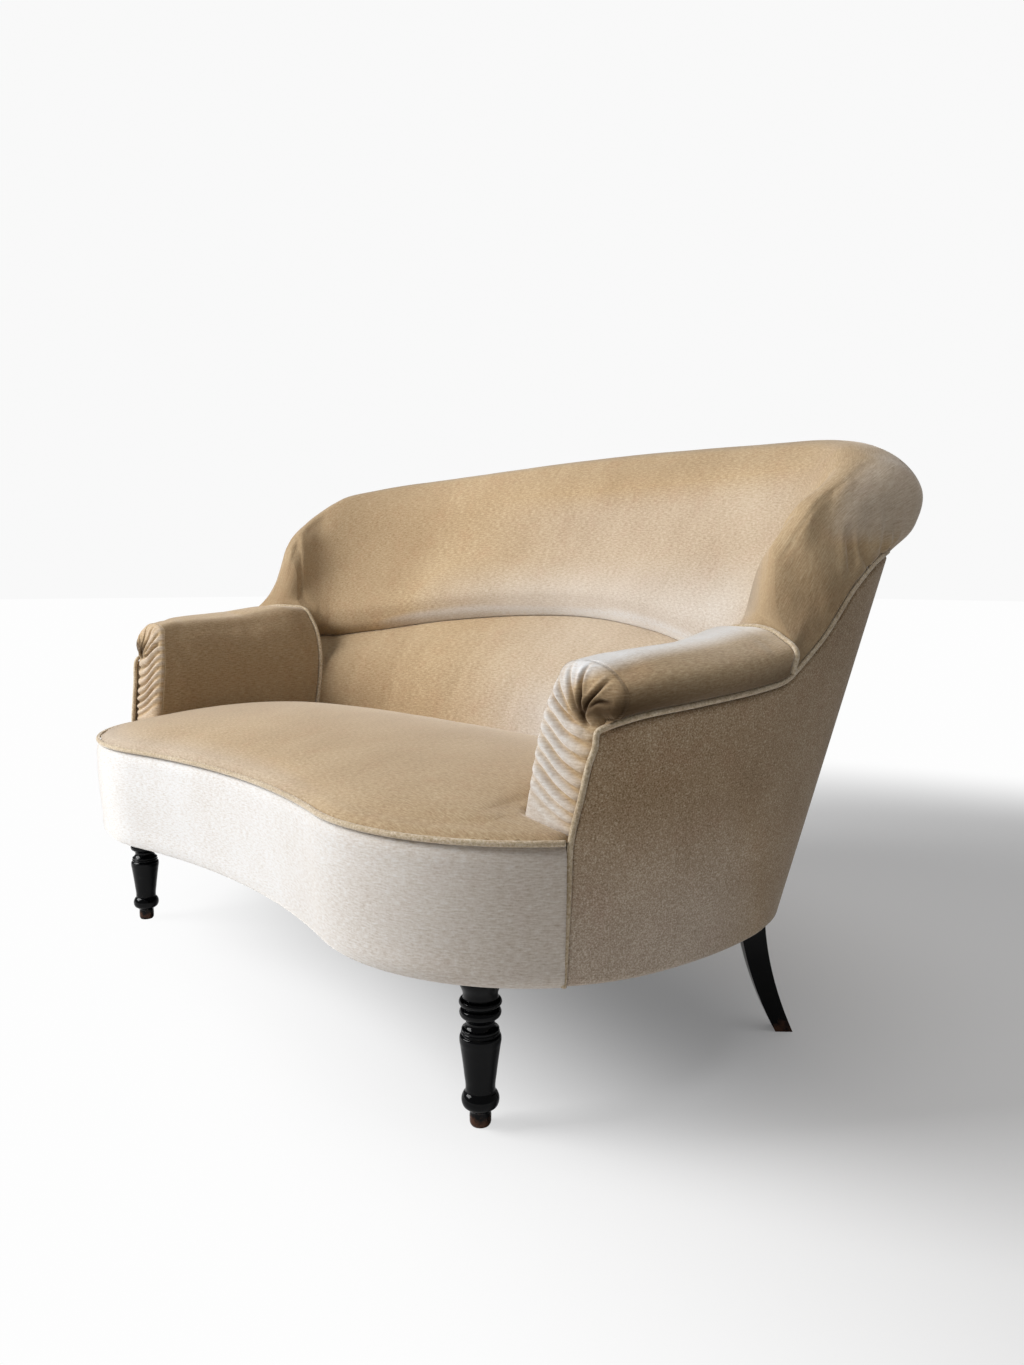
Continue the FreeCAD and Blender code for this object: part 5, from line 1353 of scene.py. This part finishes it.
def turned(profile, x, y):
    """Radius and height pairs spun about an upright axis: x plus radius times the cosine, and y
    plus radius times the sine."""
    place = np.concatenate([[0.0], np.cumsum(np.hypot(*np.diff(profile, axis=0).T))])
    want = np.linspace(0.0, place[-1], LEG_RINGS)
    radius, z = smooth_exact(place, profile[:, 0], want), smooth_exact(place, profile[:, 1], want)
    angle = np.linspace(0.0, 2 * np.pi, LEG_STEPS, endpoint=False)[:, None]
    return points(x + radius[None] * np.cos(angle), y + radius[None] * np.sin(angle), z[None])


for side, x in (("right", LEG_X), ("left", -LEG_X)):
    dress(tube("front_leg_turned_" + side, turned(LEG_LINE, x, 0.0)), EBONISED,
          ["front_leg_" + side])

# %% [markdown]
# ## Floor, light and camera
# The sofa stands on pale paper that sweeps up into a white wall. A real sweep could be built as a
# bent sheet. A flat floor under a white world looks the same from in front, and takes the shadow.
# Towards the lamps the paper is so bright that it can't be told from the wall, so there the
# floor's material goes over into white for the camera, by the distance from the shadow's middle.

# %% Floor
FLOOR_HALF_WIDTH = 30.0
WALL_WHITE, FLOOR_WHITE = (0.946, 0.946, 0.946, 1.0), (0.985, 0.985, 0.985, 1.0)
floor_corners = FLOOR_HALF_WIDTH * np.array([(-1, -1, 0), (1, -1, 0), (1, 1, 0), (-1, 1, 0)])
floor = mesh_piece("floor", floor_corners, [(0, 1, 2, 3)])
# matt paper: no highlight at all, and a little less than white so that its shadow has room
floor_material, tree, shader, add = new_material("pale_floor")
shader.inputs["Base Color"].default_value = (0.87, 0.87, 0.87, 1.0)
shader.inputs["Roughness"].default_value = 0.9
shader.inputs["Specular IOR Level"].default_value = 0.0
# distance from the shadow's middle, 1.2 m to the right and 0.9 m back, with x counting 0.55 times
floor_place = add("ShaderNodeTexCoord")
from_shadow = add("ShaderNodeMapping", i0=floor_place.outputs["Object"], Location=(-0.66, -0.9, 0.0),
                  Scale=(0.55, 1.0, 1.0))
distance = add("ShaderNodeVectorMath", {"operation": "LENGTH"}, i0=from_shadow.outputs[0])
melt = add("ShaderNodeMapRange", {"interpolation_type": "SMOOTHSTEP"}, Value=distance.outputs["Value"],
           From_Min=0.85, From_Max=1.62, To_Min=0.14)
floor_ray = add("ShaderNodeLightPath")
white_share = add("ShaderNodeMath", {"operation": "MULTIPLY"}, i0=melt.outputs[0],
                  i1=floor_ray.outputs["Is Camera Ray"])
floor_white = add("ShaderNodeEmission", Color=FLOOR_WHITE, Strength=1.0)
paper = add("ShaderNodeMixShader", i0=white_share.outputs[0], i1=shader.outputs[0],
            i2=floor_white.outputs[0])
tree.links.new(paper.outputs[0], tree.nodes["Material Output"].inputs["Surface"])
floor.data.materials.append(floor_material)
print("floor", 2.0 * FLOOR_HALF_WIDTH, "m wide")

# %% [markdown]
# The light is a window on the left in front, as a large square lamp, a weaker one over the sofa
# and a dim sky from all sides. A lit dome alone would leave no shadow on the floor, and a single
# lamp would leave the outside panel black. The camera sees white where the light sees that sky.

# %% Light
world = bpy.data.worlds.new("studio")
bpy.context.scene.world = world
world.use_nodes = True
tree = world.node_tree
add = node_adder(tree)
world_ray = add("ShaderNodeLightPath")
dim_sky = tree.nodes["Background"]
dim_sky.inputs["Color"].default_value = (0.97, 0.97, 0.98, 1.0)
dim_sky.inputs["Strength"].default_value = 0.24
white_wall = add("ShaderNodeBackground", Color=WALL_WHITE, Strength=1.0)
choose = add("ShaderNodeMixShader", i0=world_ray.outputs["Is Camera Ray"], i1=dim_sky.outputs[0],
             i2=white_wall.outputs[0])
tree.links.new(choose.outputs[0], tree.nodes["World Output"].inputs["Surface"])


def soft_lamp(name, place, aim, size, power):
    """A square area lamp at a place in metres, turned to a point, with its side and its watts."""
    data = bpy.data.lights.new(name, "AREA")
    data.shape, data.size, data.energy = "SQUARE", size, power
    lamp = bpy.data.objects.new(name, data)
    lamp.location = place
    lamp.rotation_euler = (Vector(aim) - Vector(place)).to_track_quat("-Z", "Y").to_euler()
    bpy.context.scene.collection.objects.link(lamp)
    print(name, power, "W")


soft_lamp("window", (-1.8, -2.5, 2.3), (0.0, 0.0, 0.45), 2.0, 160.0)
soft_lamp("ceiling", (0.9, 0.1, 2.9), (0.4, 0.0, 0.4), 1.4, 14.0)

# %% [markdown]
# The camera stands low and near, as it did for the photograph. Its place, its turn and its lens
# were worked out beforehand from the feet of the legs and the edges of the covers. A longer lens
# from further off would flatten the sofa's curves.

# %% Camera
IMAGE_LONG, FOCAL_PIXELS, SENSOR = 1365.0, 1025.0, 36.0
CAMERA_X, CAMERA_Y, CAMERA_Z = 1.357, -0.730, 0.6324
YAW, PITCH, ROLL = math.radians(41.718), math.radians(5.807), math.radians(0.152)
camera_data = bpy.data.cameras.new("camera")
camera = bpy.data.objects.new("camera", camera_data)
bpy.context.scene.collection.objects.link(camera)
bpy.context.scene.camera = camera
camera_data.sensor_width = SENSOR
camera_data.lens = FOCAL_PIXELS / IMAGE_LONG * SENSOR
ahead = Vector((-math.cos(YAW) * math.cos(PITCH), math.sin(YAW) * math.cos(PITCH), -math.sin(PITCH)))
camera.location = (CAMERA_X, CAMERA_Y - BOX_MIDDLE_Y * MM, CAMERA_Z)
camera.rotation_mode = "QUATERNION"
camera.rotation_quaternion = ahead.to_track_quat("-Z", "Y") @ Matrix.Rotation(ROLL, 3, "Z").to_quaternion()
bpy.context.scene.view_settings.view_transform = "Standard"
print("lens", round(camera_data.lens, 1), "mm")
